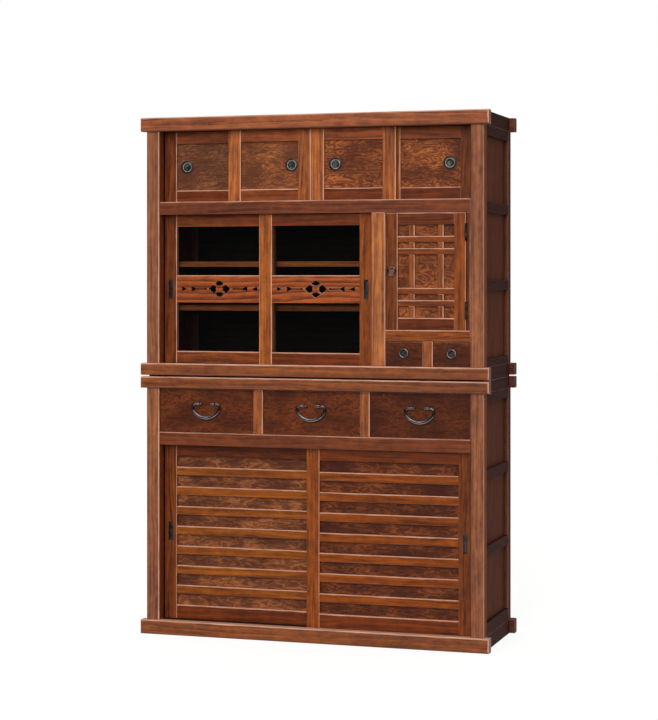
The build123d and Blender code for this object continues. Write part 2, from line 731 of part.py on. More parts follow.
SMALL_DOOR_FACES = [TRACK_REAR_Y, TRACK_FRONT_Y, TRACK_FRONT_Y, TRACK_REAR_Y]
SMALL_PULL_AT_LEFT = [True, False, True, False]


def small_pull_centre(k):
    """Centre of a round pull, on the face of the door's panel."""
    x = small_door_x(k)
    reach = ROUND_PULL_INSETS[k]
    middle = x[0] + reach if SMALL_PULL_AT_LEFT[k] else x[1] - reach
    return (middle, SMALL_DOOR_FACES[k] + PANEL_RECESS, (SMALL_SILL_Z + CROWN_Z) / 2)


def small_door(k):
    door = Door(small_door_x(k), SMALL_SILL_Z, CROWN_Z, SMALL_DOOR_FACES[k])
    door.panel(PANEL_RECESS, PANEL_THICK)
    hole = cylinder_along(Axis.Y, ROUND_CUP_R + FIT, 4 * PANEL_THICK, small_pull_centre(k))
    door.infill = [door.infill[0] - hole]
    return door.pieces()


def round_pull(k):
    """Turned iron cup: a raised rim round a dished finger hold."""
    profile = [
        (0.0, ROUND_CUP_DEPTH),
        (ROUND_CUP_R, ROUND_CUP_DEPTH),
        (ROUND_CUP_R, 0.0),
        (ROUND_PULL_R, 0.0),
        (ROUND_PULL_R, -ROUND_RIM / 2),
        (ROUND_PULL_R - ROUND_RIM_BEVEL, -ROUND_RIM),
        (ROUND_MOUTH_R + ROUND_RIM_BEVEL, -ROUND_RIM),
        (ROUND_MOUTH_R, -ROUND_RIM / 2),
        (ROUND_FLOOR_R, ROUND_DISH_DEPTH),
        (0.0, ROUND_DISH_DEPTH + ROUND_FLOOR_DIP),
    ]
    outline = make_face(Polyline([(r, depth, 0.0) for r, depth in profile], close=True))
    return Pos(*small_pull_centre(k)) * revolve(outline, Axis.Y)


GLASS_DOOR_W = (DIVIDER_X[0] + INNER_X + DOOR_STILE) / 2
LOWER_DOOR_W = (2 * INNER_X + DOOR_STILE) / 2


def sliding_pair(bay, width, sill, lintel, bottom_rail):
    """Rear left door and front right door of a bay."""
    left_x = inset((bay[0], bay[0] + width), SIDE_PLAY)
    right_x = inset((bay[1] - width, bay[1]), SIDE_PLAY)
    return [Door(left_x, sill, lintel, TRACK_REAR_Y, bottom_rail),
            Door(right_x, sill, lintel, TRACK_FRONT_Y, bottom_rail)]


def glass_doors():
    return sliding_pair(GLASS_BAY_X, GLASS_DOOR_W, UPPER_SILL_Z, MID_LINTEL_Z, DOOR_RAIL)


def lower_doors():
    return sliding_pair(FULL_X, LOWER_DOOR_W, LOWER_SILL_Z, LOWER_LINTEL_Z,
                        LOWER_DOOR_BOTTOM_RAIL)


def petal(places, halves):
    """A petal along +X: cut flat at its inner end, widest at its waist, pointed outside."""
    inner, waist, reach = places
    end_half, waist_half = halves
    corners = [(inner, end_half), (waist, waist_half), (reach, 0), (waist, -waist_half),
               (inner, -end_half)]
    bows = [SagittaArc(start, end, PETAL_BOW) for start, end in zip(corners, corners[1:])]
    return make_face(bows + [Line(corners[-1], corners[0])])


def transom_holes(half_width):
    """Flower, slits and darts of a transom, drawn about its centre."""
    point = PETAL_X[2]
    span = half_width - point

    def at(part, height):
        return (point + part * span, height)

    outline = [(SLIT_BULB, SLIT_BULB_HALF), (SLIT_NECK, SLIT_HALF), (SLIT_SHOULDER, SLIT_HALF),
               (SLIT_END, SLIT_BARB_HALF)]
    upper = [at(part, height) for part, height in outline]
    lower = [at(part, -height) for part, height in reversed(outline)]
    slit = make_face(Polyline([at(SLIT_START, 0)] + upper + lower, close=True))
    dart_corners = [at(DART_TIP, 0), at(DART_END, DART_HALF), at(DART_END, -DART_HALF)]
    dart = make_face(Polyline(dart_corners, close=True))
    upright_petal = Rot(0, 0, 90) * petal(PETAL_Z, PETAL_Z_HALVES)
    shapes = [petal(PETAL_X, PETAL_X_HALVES), upright_petal, slit, dart]
    return [turned for shape in shapes for turned in (shape, Rot(0, 0, 180) * shape)]


def transom(door):
    """Pierced board across a glazed door."""
    middle = (sum(door.x) / 2, door.face + TRANSOM_RECESS, TRANSOM_MIDDLE)
    x = inset(door.inner_x, -GROOVE)
    y = door.depth(TRANSOM_RECESS, TRANSOM_RECESS + TRANSOM_THICK)
    z = around(TRANSOM_MIDDLE, TRANSOM_H / 2)
    door.cut_frame(board_in(x, y, z, FIT))
    board = block(x, y, z)
    upright = Pos(*middle) * Rot(90, 0, 0)
    for face in transom_holes((door.inner_x[1] - door.inner_x[0]) / 2):
        board = board - upright * extrude(face, 3 * TRANSOM_THICK, both=True)
    heart = block(around(middle[0], HEART_HALF), around(middle[1], HEART_DEPTH),
                  around(middle[2], HEART_HALF))
    return board - heart


def glass_door(door, at_left):
    """Frame with transom, and the pane that stands behind the transom."""
    with_pull_pocket(door, at_left)
    door.panel(GLASS_RECESS, GLASS_THICK)
    pane = door.infill.pop()
    board = transom(door)
    return door.pieces() + [board], pane


def lower_door(door, at_left):
    """Frame, slats and the panel behind the slats."""
    with_pull_pocket(door, at_left)
    door.panel(SLAT_BACK, PANEL_THICK)
    panel = door.infill.pop()
    low, high = door.inner_z
    gap = (high - low - SLAT_COUNT * SLAT_H) / (SLAT_COUNT + 1)
    for k in range(SLAT_COUNT):
        foot = low + gap + k * (SLAT_H + gap)
        door.let_in(inset(door.inner_x, -GROOVE), door.depth(SLAT_RECESS, SLAT_BACK),
                    (foot, foot + SLAT_H))
    return door.pieces() + [panel]


def lattice_door_frame():
    x = (BAY_X + 4 * SIDE_PLAY, INNER_X - JAMB_W - HINGE_SEAM)
    return Door(x, LATTICE_SILL_Z, MID_LINTEL_Z, LATTICE_FACE, stile=LATTICE_STILE,
                slides=False)


def lattice_bars(door):
    """Two uprights and four cross bars, halved where they cross."""
    reach_x = inset(door.inner_x, -GROOVE)
    reach_z = inset(door.inner_z, -GROOVE)
    halving = (LATTICE_BAR_RECESS + SLAT_BACK) / 2
    lines = inset(door.inner_x, LATTICE_UPRIGHT_INSET)
    upright_x = [around(line, LATTICE_BAR / 2) for line in lines]
    cross_z = []
    for edge, way in ((door.inner_z[1], -1), (door.inner_z[0], 1)):
        first = edge + way * LATTICE_BAR_INSET
        cross_z.append(around(first, LATTICE_BAR / 2))
        cross_z.append(around(first + way * LATTICE_PAIR_PITCH, LATTICE_BAR / 2))
    uprights = []
    for x in upright_x:
        bar = block(x, door.depth(LATTICE_UPRIGHT_RECESS, SLAT_BACK), reach_z)
        for z in cross_z:
            bar = bar - block(x, door.depth(0.0, halving), z)
        uprights.append(bar)
    crosses = []
    for z in cross_z:
        bar = block(reach_x, door.depth(LATTICE_BAR_RECESS, SLAT_BACK), z)
        for x in upright_x:
            bar = bar - block(x, door.depth(halving, SLAT_BACK + PAST), z)
        crosses.append(bar)
    for x in upright_x:
        door.cut_frame(board_in(x, door.depth(LATTICE_UPRIGHT_RECESS, SLAT_BACK), reach_z, FIT))
    for z in cross_z:
        door.cut_frame(board_in(reach_x, door.depth(LATTICE_BAR_RECESS, SLAT_BACK), z, FIT))
    return uprights + crosses


def lattice_door():
    door = lattice_door_frame()
    door.panel(SLAT_BACK, PANEL_THICK)
    bars = lattice_bars(door)
    return door.pieces() + bars


# ----------------------------------------------------------------------------
# Hinges of the lattice door
# ----------------------------------------------------------------------------
HINGE_X = INNER_X - JAMB_W - HINGE_SEAM / 2
HINGE_Y = LATTICE_FACE - KNUCKLE_R


def hinge_middles():
    door = lattice_door_frame()
    return [door.z[0] + HINGE_FROM_END, door.z[1] - HINGE_FROM_END]


def knuckle(z, bore):
    barrel = Pos(HINGE_X, HINGE_Y, sum(z) / 2) * Cylinder(KNUCKLE_R, z[1] - z[0])
    return barrel - Pos(HINGE_X, HINGE_Y, sum(z) / 2) * Cylinder(bore, z[1] - z[0])


def hinge_leaf(x, knuckles, z, bore):
    """Leaf in the seam, with a tab to each of its own knuckles."""
    leaf = block(x, (LATTICE_FACE + RUN, LATTICE_FACE + HINGE_LEAF_W), z)
    for part in knuckles:
        tab = block(x, (HINGE_Y + KNUCKLE_R / 2, LATTICE_FACE + 2 * RUN), part)
        leaf = leaf + tab + knuckle(part, bore)
    return leaf - Pos(HINGE_X, HINGE_Y, sum(z) / 2) * Cylinder(bore, HINGE_H)


def hinge_parts(middle):
    """Fixed leaf with its pin, and moving leaf, of one butt hinge."""
    z = around(middle, HINGE_H / 2)
    third = HINGE_H / 3
    outer = [(z[0], z[0] + third - RUN), (z[1] - third + RUN, z[1])]
    inner = [(z[0] + third, z[1] - third)]
    door_edge = INNER_X - JAMB_W - HINGE_SEAM
    fixed = hinge_leaf((door_edge + HINGE_SEAM - HINGE_LEAF, door_edge + HINGE_SEAM), outer, z,
                       HINGE_PIN_R)
    pin = Pos(HINGE_X, HINGE_Y, middle) * Cylinder(HINGE_PIN_R, HINGE_H)
    moving = hinge_leaf((door_edge, door_edge + HINGE_LEAF), inner, z, HINGE_PIN_R + 0.05)
    return fixed + pin, moving


# ----------------------------------------------------------------------------
# Ring pulls and bails
# ----------------------------------------------------------------------------
def ring_pull(x, face, centre_z):
    """Round plate with an eye, and the ring that hangs in the eye."""
    eye_z = centre_z + RING_R
    axis_y = face - RING_STAND_OFF
    plate = cylinder_along(Axis.Y, RING_PLATE_R, RING_PLATE_THICK,
                           (x, face - RING_PLATE_THICK / 2, centre_z + RING_PLATE_LIFT))
    eye = cylinder_along(Axis.X, RING_EYE_R, RING_EYE_W, (x, axis_y, eye_z))
    neck = block(around(x, RING_EYE_W / 2), (axis_y, face - RING_PLATE_THICK / 2),
                 around(eye_z, RING_EYE_BORE))
    bore = cylinder_along(Axis.X, RING_EYE_BORE, 3 * RING_EYE_W, (x, axis_y, eye_z))
    ring = Pos(x, axis_y, centre_z) * Rot(90, 0, 0) * Torus(RING_R, RING_WIRE_R)
    return plate + eye + neck - bore, ring


def bail_line():
    """Curves of the right half of a bail, from the end of its pin to the lowest point."""
    hip = BAIL_HIP_R
    flat = BAIL_HALF - hip
    rise = BAIL_DROP - BAIL_SHOULDER_R
    extra = (flat ** 2 + (rise - hip) ** 2) / (2 * (rise - hip))
    turn = math.degrees(math.acos(flat / extra))
    shoulder_start = BAIL_HALF - BAIL_SHOULDER_R
    shoulder = JernArc((shoulder_start, 0), (1, 0), BAIL_SHOULDER_R, -90)
    bend = JernArc(shoulder @ 1, shoulder % 1, hip, -turn)
    sole = JernArc(bend @ 1, bend % 1, hip + extra, turn - 90)
    return [shoulder, bend, sole]


def bail_sections(curves):
    """Round sections at the ends of the curves, growing with the length along them."""
    total = sum(curve.length for curve in curves)
    sections = [Plane(curves[0] @ 0, z_dir=curves[0] % 0) * Circle(BAIL_END_R)]
    run = 0.0
    for curve in curves:
        run += curve.length
        radius = BAIL_END_R + (BAIL_SOLE_R - BAIL_END_R) * run / total
        sections.append(Plane(curve @ 1, z_dir=curve % 1) * Circle(radius))
    return sections


def bail(x, axis_y, z):
    """Thick iron bail with inturned pins, beads at the tips and at the shoulders."""
    curves = bail_line()
    half = sweep(bail_sections(curves), path=Wire(curves), multisection=True)
    shoulder_start = BAIL_HALF - BAIL_SHOULDER_R
    pin_middle = ((BAIL_TIP + shoulder_start) / 2, 0, 0)
    half = half + cylinder_along(Axis.X, BAIL_PIN_R, shoulder_start - BAIL_TIP, pin_middle)
    for bead_x in (BAIL_TIP, shoulder_start):
        half = half + Pos(bead_x, 0, 0) * Sphere(BAIL_BEAD_R)
    return Pos(x, axis_y, z) * Rot(90, 0, 0) * (half + mirrored_x(half))


def bail_mounts(x, face, z):
    """Two posts on the drawer front, each ending in an eye for the bail's pin."""
    axis_y = face - BAIL_STAND_OFF
    pieces = []
    for side in (-1, 1):
        middle = x + side * BAIL_PIVOT_HALF
        eye = cylinder_along(Axis.X, BAIL_EYE_R, BAIL_EYE_W, (middle, axis_y, z))
        neck = cylinder_along(Axis.Y, BAIL_NECK_R, BAIL_STAND_OFF,
                              (middle, face - BAIL_STAND_OFF / 2, z))
        seat = cylinder_along(Axis.Y, BAIL_SEAT_R, BAIL_SEAT_THICK,
                              (middle, face - BAIL_SEAT_THICK / 2, z))
        bore = cylinder_along(Axis.X, BAIL_PIN_R + BAIL_PIN_FIT, 3 * BAIL_EYE_W, (middle, axis_y, z))
        pieces.append(eye + neck + seat - bore)
    return pieces


# ----------------------------------------------------------------------------
# Drawers
# ----------------------------------------------------------------------------
def drawer(bay, sill, opening_h, front, side, side_h):
    """Front, sides, back and a bottom held in grooves."""
    face = DRAWER_FACE
    x = inset(bay, DRAWER_PLAY)
    z_front = (sill + DRAWER_PLAY, sill + opening_h - 2 * DRAWER_PLAY)
    box_x = inset(bay, 1.5 * DRAWER_PLAY)
    box_y = (face + front, BACK_FACE - DRAWER_BACK_GAP)
    box_z = (sill + RUN, sill + RUN + side_h)
    bottom_x = inset(box_x, side - DRAWER_BOTTOM)
    bottom_y = (box_y[0] - DRAWER_BOTTOM, box_y[1] - side)
    bottom_z = (box_z[0] + DRAWER_BOTTOM, box_z[0] + 2 * DRAWER_BOTTOM)
    seat = board_in(bottom_x, bottom_y, bottom_z, FIT)
    panels = [
        block(x, (face, face + front), z_front) - seat,
        block((box_x[0], box_x[0] + side), box_y, box_z) - seat,
        block((box_x[1] - side, box_x[1]), box_y, box_z) - seat,
    ]
    back = block(inset(box_x, side), (box_y[1] - side, box_y[1]), box_z)
    return panels + [back - seat, block(bottom_x, bottom_y, bottom_z)]


DRAWER_FACE = POST_FRONT + DRAWER_SET_BACK


def small_drawer_bay(k):
    left = BAY_X + k * (SMALL_BAY_W + SMALL_DIVIDER_W)
    return (left, left + SMALL_BAY_W)


# ----------------------------------------------------------------------------
# Nodes
# ----------------------------------------------------------------------------
nodes = {}

nodes["base_rails"] = BASE_RING.long_rails()
nodes["lower_top_rails"] = LOWER_TOP_RING.long_rails()
nodes["upper_sill_rails"] = UPPER_SILL_RING.long_rails()
nodes["crown_rails"] = CROWN_RING.long_rails()
nodes["side_rails"] = all_side_rails()
nodes["lower_posts"] = corner_posts((LOWER_SILL_Z, LOWER_TOP_Z), LOWER_BARS,
                                    [DRAWER_RAIL_Z], [DRAWER_RAIL_Z])
nodes["upper_posts"] = corner_posts((UPPER_SILL_Z, CROWN_Z), UPPER_BARS,
                                    [MID_RAIL_Z], [MID_RAIL_Z, LATTICE_RAIL_LEVELS])
nodes["side_bars"] = [piece for z in LOWER_BARS + UPPER_BARS for piece in left_and_right(side_bar(z))]
nodes["side_panels"] = [piece for bars in (LOWER_BARS, UPPER_BARS) for z in gaps_between(bars)
                        for piece in left_and_right(side_panel(z))]
nodes["back_panels"] = back_panels()
nodes["top_boards"] = [ring.board((RAIL_BACK, -RAIL_BACK)) for ring in (CROWN_RING, LOWER_TOP_RING)]
nodes["floor_boards"] = [ring.board(BEHIND_Y) for ring in (UPPER_SILL_RING, BASE_RING)]
nodes["door_tracks"] = door_tracks()
nodes["mid_rail"] = [mid_rail()]
nodes["drawer_rail"] = [drawer_rail()]
nodes["drawer_dividers"] = left_and_right(drawer_divider())
nodes["drawer_runners"] = drawer_runners()
nodes["inner_boards"] = inner_boards()
nodes["lattice_rail"] = [lattice_rail()]
nodes["bay_posts"] = bay_posts()
nodes["bay_partitions"] = bay_partitions()
nodes["shelves"] = shelves()
nodes["shelf_cleats"] = shelf_cleats()

for k in range(4):
    nodes[f"small_door_{k + 1}"] = small_door(k)
    nodes[f"small_door_{k + 1}_pull"] = [round_pull(k)]

for side, at_left, glazed, slatted in zip(("left", "right"), (True, False),
                                          glass_doors(), lower_doors()):
    frame, pane = glass_door(glazed, at_left)
    nodes[f"glass_door_{side}"] = frame
    nodes[f"glass_door_{side}_pane"] = [pane]
    nodes[f"glass_door_{side}_pull"] = [rect_pull(glazed, at_left)]
    nodes[f"lower_door_{side}"] = lower_door(slatted, at_left)
    nodes[f"lower_door_{side}_pull"] = [rect_pull(slatted, at_left)]

nodes["lattice_door"] = lattice_door()
hinges = [hinge_parts(middle) for middle in hinge_middles()]
nodes["lattice_hinge_fixed_leaves"] = [fixed for fixed, _ in hinges]
lattice_frame = lattice_door_frame()
lattice_ring_x = (lattice_frame.x[0] + lattice_frame.inner_x[0]) / 2
lattice_ring_z = (LATTICE_SILL_Z + MID_LINTEL_Z) / 2
ring_plate, ring = ring_pull(lattice_ring_x, LATTICE_FACE, lattice_ring_z)
nodes["lattice_door_fittings"] = [moving for _, moving in hinges] + [ring_plate]
nodes["lattice_door_ring"] = [ring]

for k in range(2):
    bay = small_drawer_bay(k)
    nodes[f"small_drawer_{k + 1}"] = drawer(
        bay, UPPER_SILL_Z, SMALL_DRAWER_OPENING_H, SMALL_DRAWER_FRONT,
        SMALL_DRAWER_SIDE, SMALL_DRAWER_SIDE_H)
    ring_z = UPPER_SILL_Z + SMALL_DRAWER_OPENING_H / 2 + RING_WIRE_R
    ring_plate, ring = ring_pull(sum(bay) / 2, DRAWER_FACE, ring_z)
    nodes[f"small_drawer_{k + 1}_plate"] = [ring_plate]
    nodes[f"small_drawer_{k + 1}_ring"] = [ring]

for k in range(3):
    bay = drawer_bay(k)
    middle = sum(bay) / 2
    level = DRAWER_SILL_Z + BAIL_LEVEL
    nodes[f"large_drawer_{k + 1}"] = drawer(
        bay, DRAWER_SILL_Z, DRAWER_OPENING_H, DRAWER_FRONT, DRAWER_SIDE, DRAWER_SIDE_H)
    nodes[f"large_drawer_{k + 1}_mounts"] = bail_mounts(middle, DRAWER_FACE, level)
    nodes[f"large_drawer_{k + 1}_bail"] = [bail(middle, DRAWER_FACE - BAIL_STAND_OFF, level)]

os.makedirs("parts", exist_ok=True)
for name, pieces in nodes.items():
    solids = [solid for piece in pieces for solid in piece.solids()]
    export_step(Compound(children=solids), f"parts/{name}.step")
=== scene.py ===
import json
import math

import bmesh
import bpy
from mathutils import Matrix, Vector

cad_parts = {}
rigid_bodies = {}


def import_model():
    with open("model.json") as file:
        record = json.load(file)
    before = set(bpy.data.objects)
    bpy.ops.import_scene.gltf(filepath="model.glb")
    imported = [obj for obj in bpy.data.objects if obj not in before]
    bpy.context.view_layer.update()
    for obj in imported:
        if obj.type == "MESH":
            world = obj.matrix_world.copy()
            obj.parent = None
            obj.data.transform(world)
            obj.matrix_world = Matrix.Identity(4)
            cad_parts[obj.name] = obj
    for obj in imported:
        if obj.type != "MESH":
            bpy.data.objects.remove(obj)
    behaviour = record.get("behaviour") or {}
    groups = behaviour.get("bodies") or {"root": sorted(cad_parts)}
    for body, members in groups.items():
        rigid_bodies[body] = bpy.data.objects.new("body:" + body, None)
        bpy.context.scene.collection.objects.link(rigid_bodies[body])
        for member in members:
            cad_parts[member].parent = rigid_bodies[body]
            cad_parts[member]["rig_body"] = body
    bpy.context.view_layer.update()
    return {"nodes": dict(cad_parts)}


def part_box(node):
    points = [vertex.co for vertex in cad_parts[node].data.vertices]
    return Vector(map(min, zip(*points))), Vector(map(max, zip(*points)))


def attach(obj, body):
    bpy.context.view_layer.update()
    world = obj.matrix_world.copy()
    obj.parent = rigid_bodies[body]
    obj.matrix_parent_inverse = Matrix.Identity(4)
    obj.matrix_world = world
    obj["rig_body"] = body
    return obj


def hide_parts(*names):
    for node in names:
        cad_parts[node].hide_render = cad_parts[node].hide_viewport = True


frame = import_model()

bl_info = {
    "name": "Mizuya kitchen cabinet",
    "version": (1, 0, 0),
    "blender": (4, 5, 0),
    "location": "View3D > Sidebar > Mizuya",
    "description": "Builds the woodwork, ironwork and studio of a two-unit mizuya kitchen cabinet",
    "category": "Object",
}

NODES = frame["nodes"]
DOOR_SIDES = ("left", "right")

# Corners of the CAD's boards are matched to the micron: microns in a metre, and one in metres
MICRONS, MICRON = 1e6, 1e-6
# Faces turned by less than this are one face, and by more than this they meet in an arris
SAME_PLANE, ARRIS = math.radians(0.2), math.radians(40)
# How far a face's normal points sideways on a flank, and how far along any axis, and how
# large it is in square metres, where it is a chamfer
FLANK = 0.9
CHAMFER_LOW, CHAMFER_HIGH, CHAMFER_AREA = 0.3, 0.8, 0.012

# Refractive index of a lacquer film and of window glass; depths of pores and hammer marks
CLEAR_IOR = 1.5
PORE_DEPTH, HAMMER_DEPTH = 0.0006, 0.0008
# A dry, rubbed-down film, for surfaces that took less lacquer
MATT = {"roughness": 0.75, "gloss": 0.1, "coat": 0.0}

# The camera's frame, focal length and lens axis in pixels, its place and its turn
FRAME_WIDTH, FRAME_HEIGHT = 658, 720
FOCAL_LENGTH = 2088.835
AXIS_ACROSS, AXIS_DOWN = 230.343, 276.060
SENSOR_WIDTH = 36.0
CAMERA_PLACE = (2.01170, -6.82535, 1.21312)
CAMERA_TURN = 0.33385

# The softbox, the even fill, the white floor, and what gloss mirrors in front and behind
KEY_STRENGTH = 2.22
KEY_SPREAD = math.radians(48)
KEY_DIRECTION = (0.10, -0.91, 0.38)
FILL_STRENGTH = 0.54
FLOOR_GLOW = 0.82
ROOM_IN_FRONT, ROOM_BEHIND = 0.04, 0.4

# Round finger cups: radius, depth behind the front of the rim, and the material from here
# to the next point, which is 0 for black iron, 1 for grey iron that paints a highlight on the
# sloping wall, and 2 for the cast floor
CUP_PROFILE = (
    (0.0, 0.0112, 0), (0.0184, 0.0112, 0), (0.0184, 0.0022, 0), (0.022, 0.0022, 0),
    (0.022, 0.0011, 0), (0.0215, 0.0004, 0), (0.0207, 0.0, 0), (0.0180, 0.0002, 0),
    (0.0171, 0.0012, 0), (0.0167, 0.0024, 1), (0.0160, 0.0016, 1), (0.0148, 0.0014, 1),
    (0.0136, 0.0018, 1), (0.0128, 0.0030, 1), (0.0124, 0.0072, 2), (0.0110, 0.0086, 2),
    (0.0060, 0.0092, 2), (0.0, 0.0088, 2))
CUP_FACETS, CUP_CREASE = 48, math.radians(42)
# The lattice door's ring plate lies left of this, in metres, and its hinge leaves right
RING_PLATE_RIGHT = 0.4


# ---- Colours and nodes ----
def linear(hex_colour):
    """An sRGB hex colour as the linear red, green, blue and alpha that Blender uses."""
    channels = [int(hex_colour[k:k + 2], 16) / 255 for k in (1, 3, 5)]
    return tuple(c / 12.92 if c <= 0.04045 else ((c + 0.055) / 1.055) ** 2.4
                 for c in channels) + (1.0,)


def tinted(colour, red, green, blue):
    """A linear colour with its channels multiplied."""
    return tuple(min(c * by, 1.0) for c, by in zip(colour, (red, green, blue))) + (1.0,)


def opaque(colour):
    """A colour as the plain tuple that a socket takes, with alpha 1."""
    return tuple(colour)[:3] + (1.0,)


def add(tree, kind, inputs=None, stops=None, **settings):
    """Adds one node with its settings, its plain values and the links that come in."""
    made = tree.nodes.new("ShaderNode" + kind)
    for setting, value in settings.items():
        setattr(made, setting, value)
    for socket, value in (inputs or {}).items():
        if isinstance(value, bpy.types.NodeSocket):
            tree.links.new(value, made.inputs[socket])
        else:
            made.inputs[socket].default_value = value
    if stops:
        ramp = made.color_ramp
        while len(ramp.elements) < len(stops):
            ramp.elements.new(0.5)
        for element, (position, colour) in zip(ramp.elements, stops):
            element.position = position
            element.color = colour
    return made


def new_material(name):
    """An empty material, or the one that an earlier operator made."""
    found = bpy.data.materials.get(name)
    if found:
        return found, None
    material = bpy.data.materials.new(name)
    material.use_nodes = True
    material.node_tree.nodes.clear()
    return material, material.node_tree


# ---- Woods ----
def figure(tree, place, along, across, detail, roughness=0.5, distortion=0.0):
    """An uneven figure drawn out along the grain, with so many turns in a metre along the
    board and across it."""
    sized = add(tree, "VectorMath", {0: place, 1: (along, across, across)},
                operation="MULTIPLY")
    return add(tree, "TexNoise", {"Vector": sized.outputs[0], "Scale": 1.0,
                                  "Detail": detail, "Roughness": roughness,
                                  "Distortion": distortion}).outputs


def laid_over(tree, level, figures):
    """The figures times their strengths, added to a level one after the other."""
    for shown, strength in figures:
        level = add(tree, "Math", {0: shown, 1: strength, 2: level},
                    operation="MULTIPLY_ADD").outputs[0]
    return level


def under_film(tree, shade, streak, relief, depth, roughness, gloss=0.12, coat=0.02):
    """The stained wood under its film, which is glossier on the streaks and follows the
    relief by the share of the pores' depth that is given."""
    sheen = add(tree, "Math", {0: streak, 1: -0.2, 2: roughness + 0.1}, operation="MULTIPLY_ADD")
    dips = add(tree, "Bump", {"Height": relief, "Strength": depth, "Distance": PORE_DEPTH})
    wood = add(tree, "BsdfPrincipled", {
        "Base Color": shade, "Roughness": sheen.outputs[0], "Normal": dips.outputs["Normal"],
        "IOR": CLEAR_IOR, "Specular IOR Level": gloss, "Coat Weight": coat,
        "Coat Roughness": 0.25})
    add(tree, "OutputMaterial", {"Surface": wood.outputs[0]})


def with_worn_highlit_margin(tree, shade, worn, reach, most, left_too):
    """Blends a colour into its paler one near the right and top margins of a board, and
    near the left one where asked, at most by the share given: partly stain thinned by use,
    partly a painted highlight along the edges that catch the light. The "margin" attribute
    holds the distances to its right, top and left margin in metres."""
    margin = add(tree, "Attribute", attribute_name="margin").outputs["Vector"]
    apart = add(tree, "SeparateXYZ", {0: margin}).outputs
    near = add(tree, "Math", {0: apart["X"], 1: apart["Y"]}, operation="MINIMUM").outputs[0]
    if left_too:
        left = add(tree, "Math", {0: apart["Z"], 1: 0.45 * reach}, operation="ADD").outputs[0]
        near = add(tree, "Math", {0: near, 1: left}, operation="MINIMUM").outputs[0]
    place = add(tree, "Attribute", attribute_name="grain").outputs["Vector"]
    rub = figure(tree, place, 14.0, 40.0, 2.0)["Fac"]
    near = add(tree, "Math", {0: rub, 1: -1.2 * reach, 2: near},
               operation="MULTIPLY_ADD").outputs[0]
    share = add(tree, "MapRange", {"Value": near, "From Min": -0.2 * reach,
                                   "From Max": 0.4 * reach, "To Min": most, "To Max": 0.0})
    # Faces towards the cabinet's sides keep the stain
    side = add(tree, "SeparateXYZ", {0: add(tree, "TexCoord").outputs["Normal"]}).outputs["X"]
    side = add(tree, "Math", {0: side}, operation="ABSOLUTE").outputs[0]
    front = add(tree, "MapRange", {"Value": side, "From Min": 0.8, "From Max": 0.95,
                                   "To Min": 1.0, "To Max": 0.0}).outputs[0]
    share = add(tree, "Math", {0: share.outputs[0], 1: front}, operation="MULTIPLY")
    return add(tree, "Mix", {0: share.outputs[0], 6: shade, 7: opaque(worn)},
               data_type="RGBA").outputs[2]


def lacquered_zelkova(name, colour, ring_mm, streak_mm, rings=0.30, streaks=0.45, run=28,
                      tones=0.30, mottle=0.35, contrast=1.1, roughness=0.42, gloss=0.14,
                      coat=0.02, worn=None, worn_mm=4.0, worn_share=0.85, left_too=False):
    """Planed zelkova, stained and wiped with oil lacquer: annual rings show as long
    flames, open pores as darker streaks along the board, and the film gives a low sheen.
    Real rings are 2 to 4 mm apart and pores 0.3 mm wide. Both are drawn as coarse as
    ring_mm and streak_mm, because finer lines don't show at this size. A streak is run times
    as long as it is wide. tones and mottle are how unevenly the stain took, over 10 to 30 cm
    and over 2 to 4 cm. The last four arguments give the paler colour of the right and top
    margins, its reach in mm, its share, and whether the left margin takes it too: the pale
    margin is partly stain thinned by use, partly a painted highlight along the edges."""
    material, tree = new_material(name)
    if tree is None:
        return material
    dark, light = (tinted(colour, *(1 + change * contrast for change in changes))
                   for changes in ((-0.54, -0.58, -0.42), (0.60, 0.64, 0.30)))
    place = add(tree, "Attribute", attribute_name="grain").outputs["Vector"]
    drift = figure(tree, place, 1.6, 7.0, 2.0)["Color"]
    wander = add(tree, "VectorMath", {0: drift, 1: (0.0, 0.06, 0.06), 2: place},
                 operation="MULTIPLY_ADD").outputs[0]
    # At scale 1 a wave texture has 20 / tau rings in a metre
    ring = add(tree, "TexWave", {"Vector": wander, "Scale": math.tau / 20 / (ring_mm / 1000),
                                 "Distortion": 1.2, "Detail": 2.0, "Detail Scale": 0.6},
               wave_type="RINGS", rings_direction="X", wave_profile="SAW").outputs["Fac"]
    across = 1000 / streak_mm
    streak = figure(tree, wander, across / run, across, 3.0, roughness=0.6)["Fac"]
    tone = figure(tree, place, 3.0, 11.0, 1.0)["Fac"]
    blot = figure(tree, place, 26.0, 52.0, 3.0, roughness=0.6)["Fac"]
    # Each figure swings about the middle, so the level makes up for its mean
    level = 0.5 - 0.5 * rings - 1.5 * streaks - tones - 1.5 * mottle
    mixed = laid_over(tree, level, [(ring, rings), (blot, 3 * mottle), (streak, 3 * streaks),
                                    (tone, 2 * tones)])
    shade = add(tree, "ValToRGB", {"Fac": mixed},
                stops=[(0.0, dark), (0.5, opaque(colour)), (1.0, light)]).outputs["Color"]
    # Pale margins: partly stain thinned by use, partly a painted highlight along the edges
    if worn:
        shade = with_worn_highlit_margin(tree, shade, worn, worn_mm / 1000, worn_share, left_too)
    under_film(tree, shade, streak, streak, 0.25, roughness, gloss, coat)
    return material


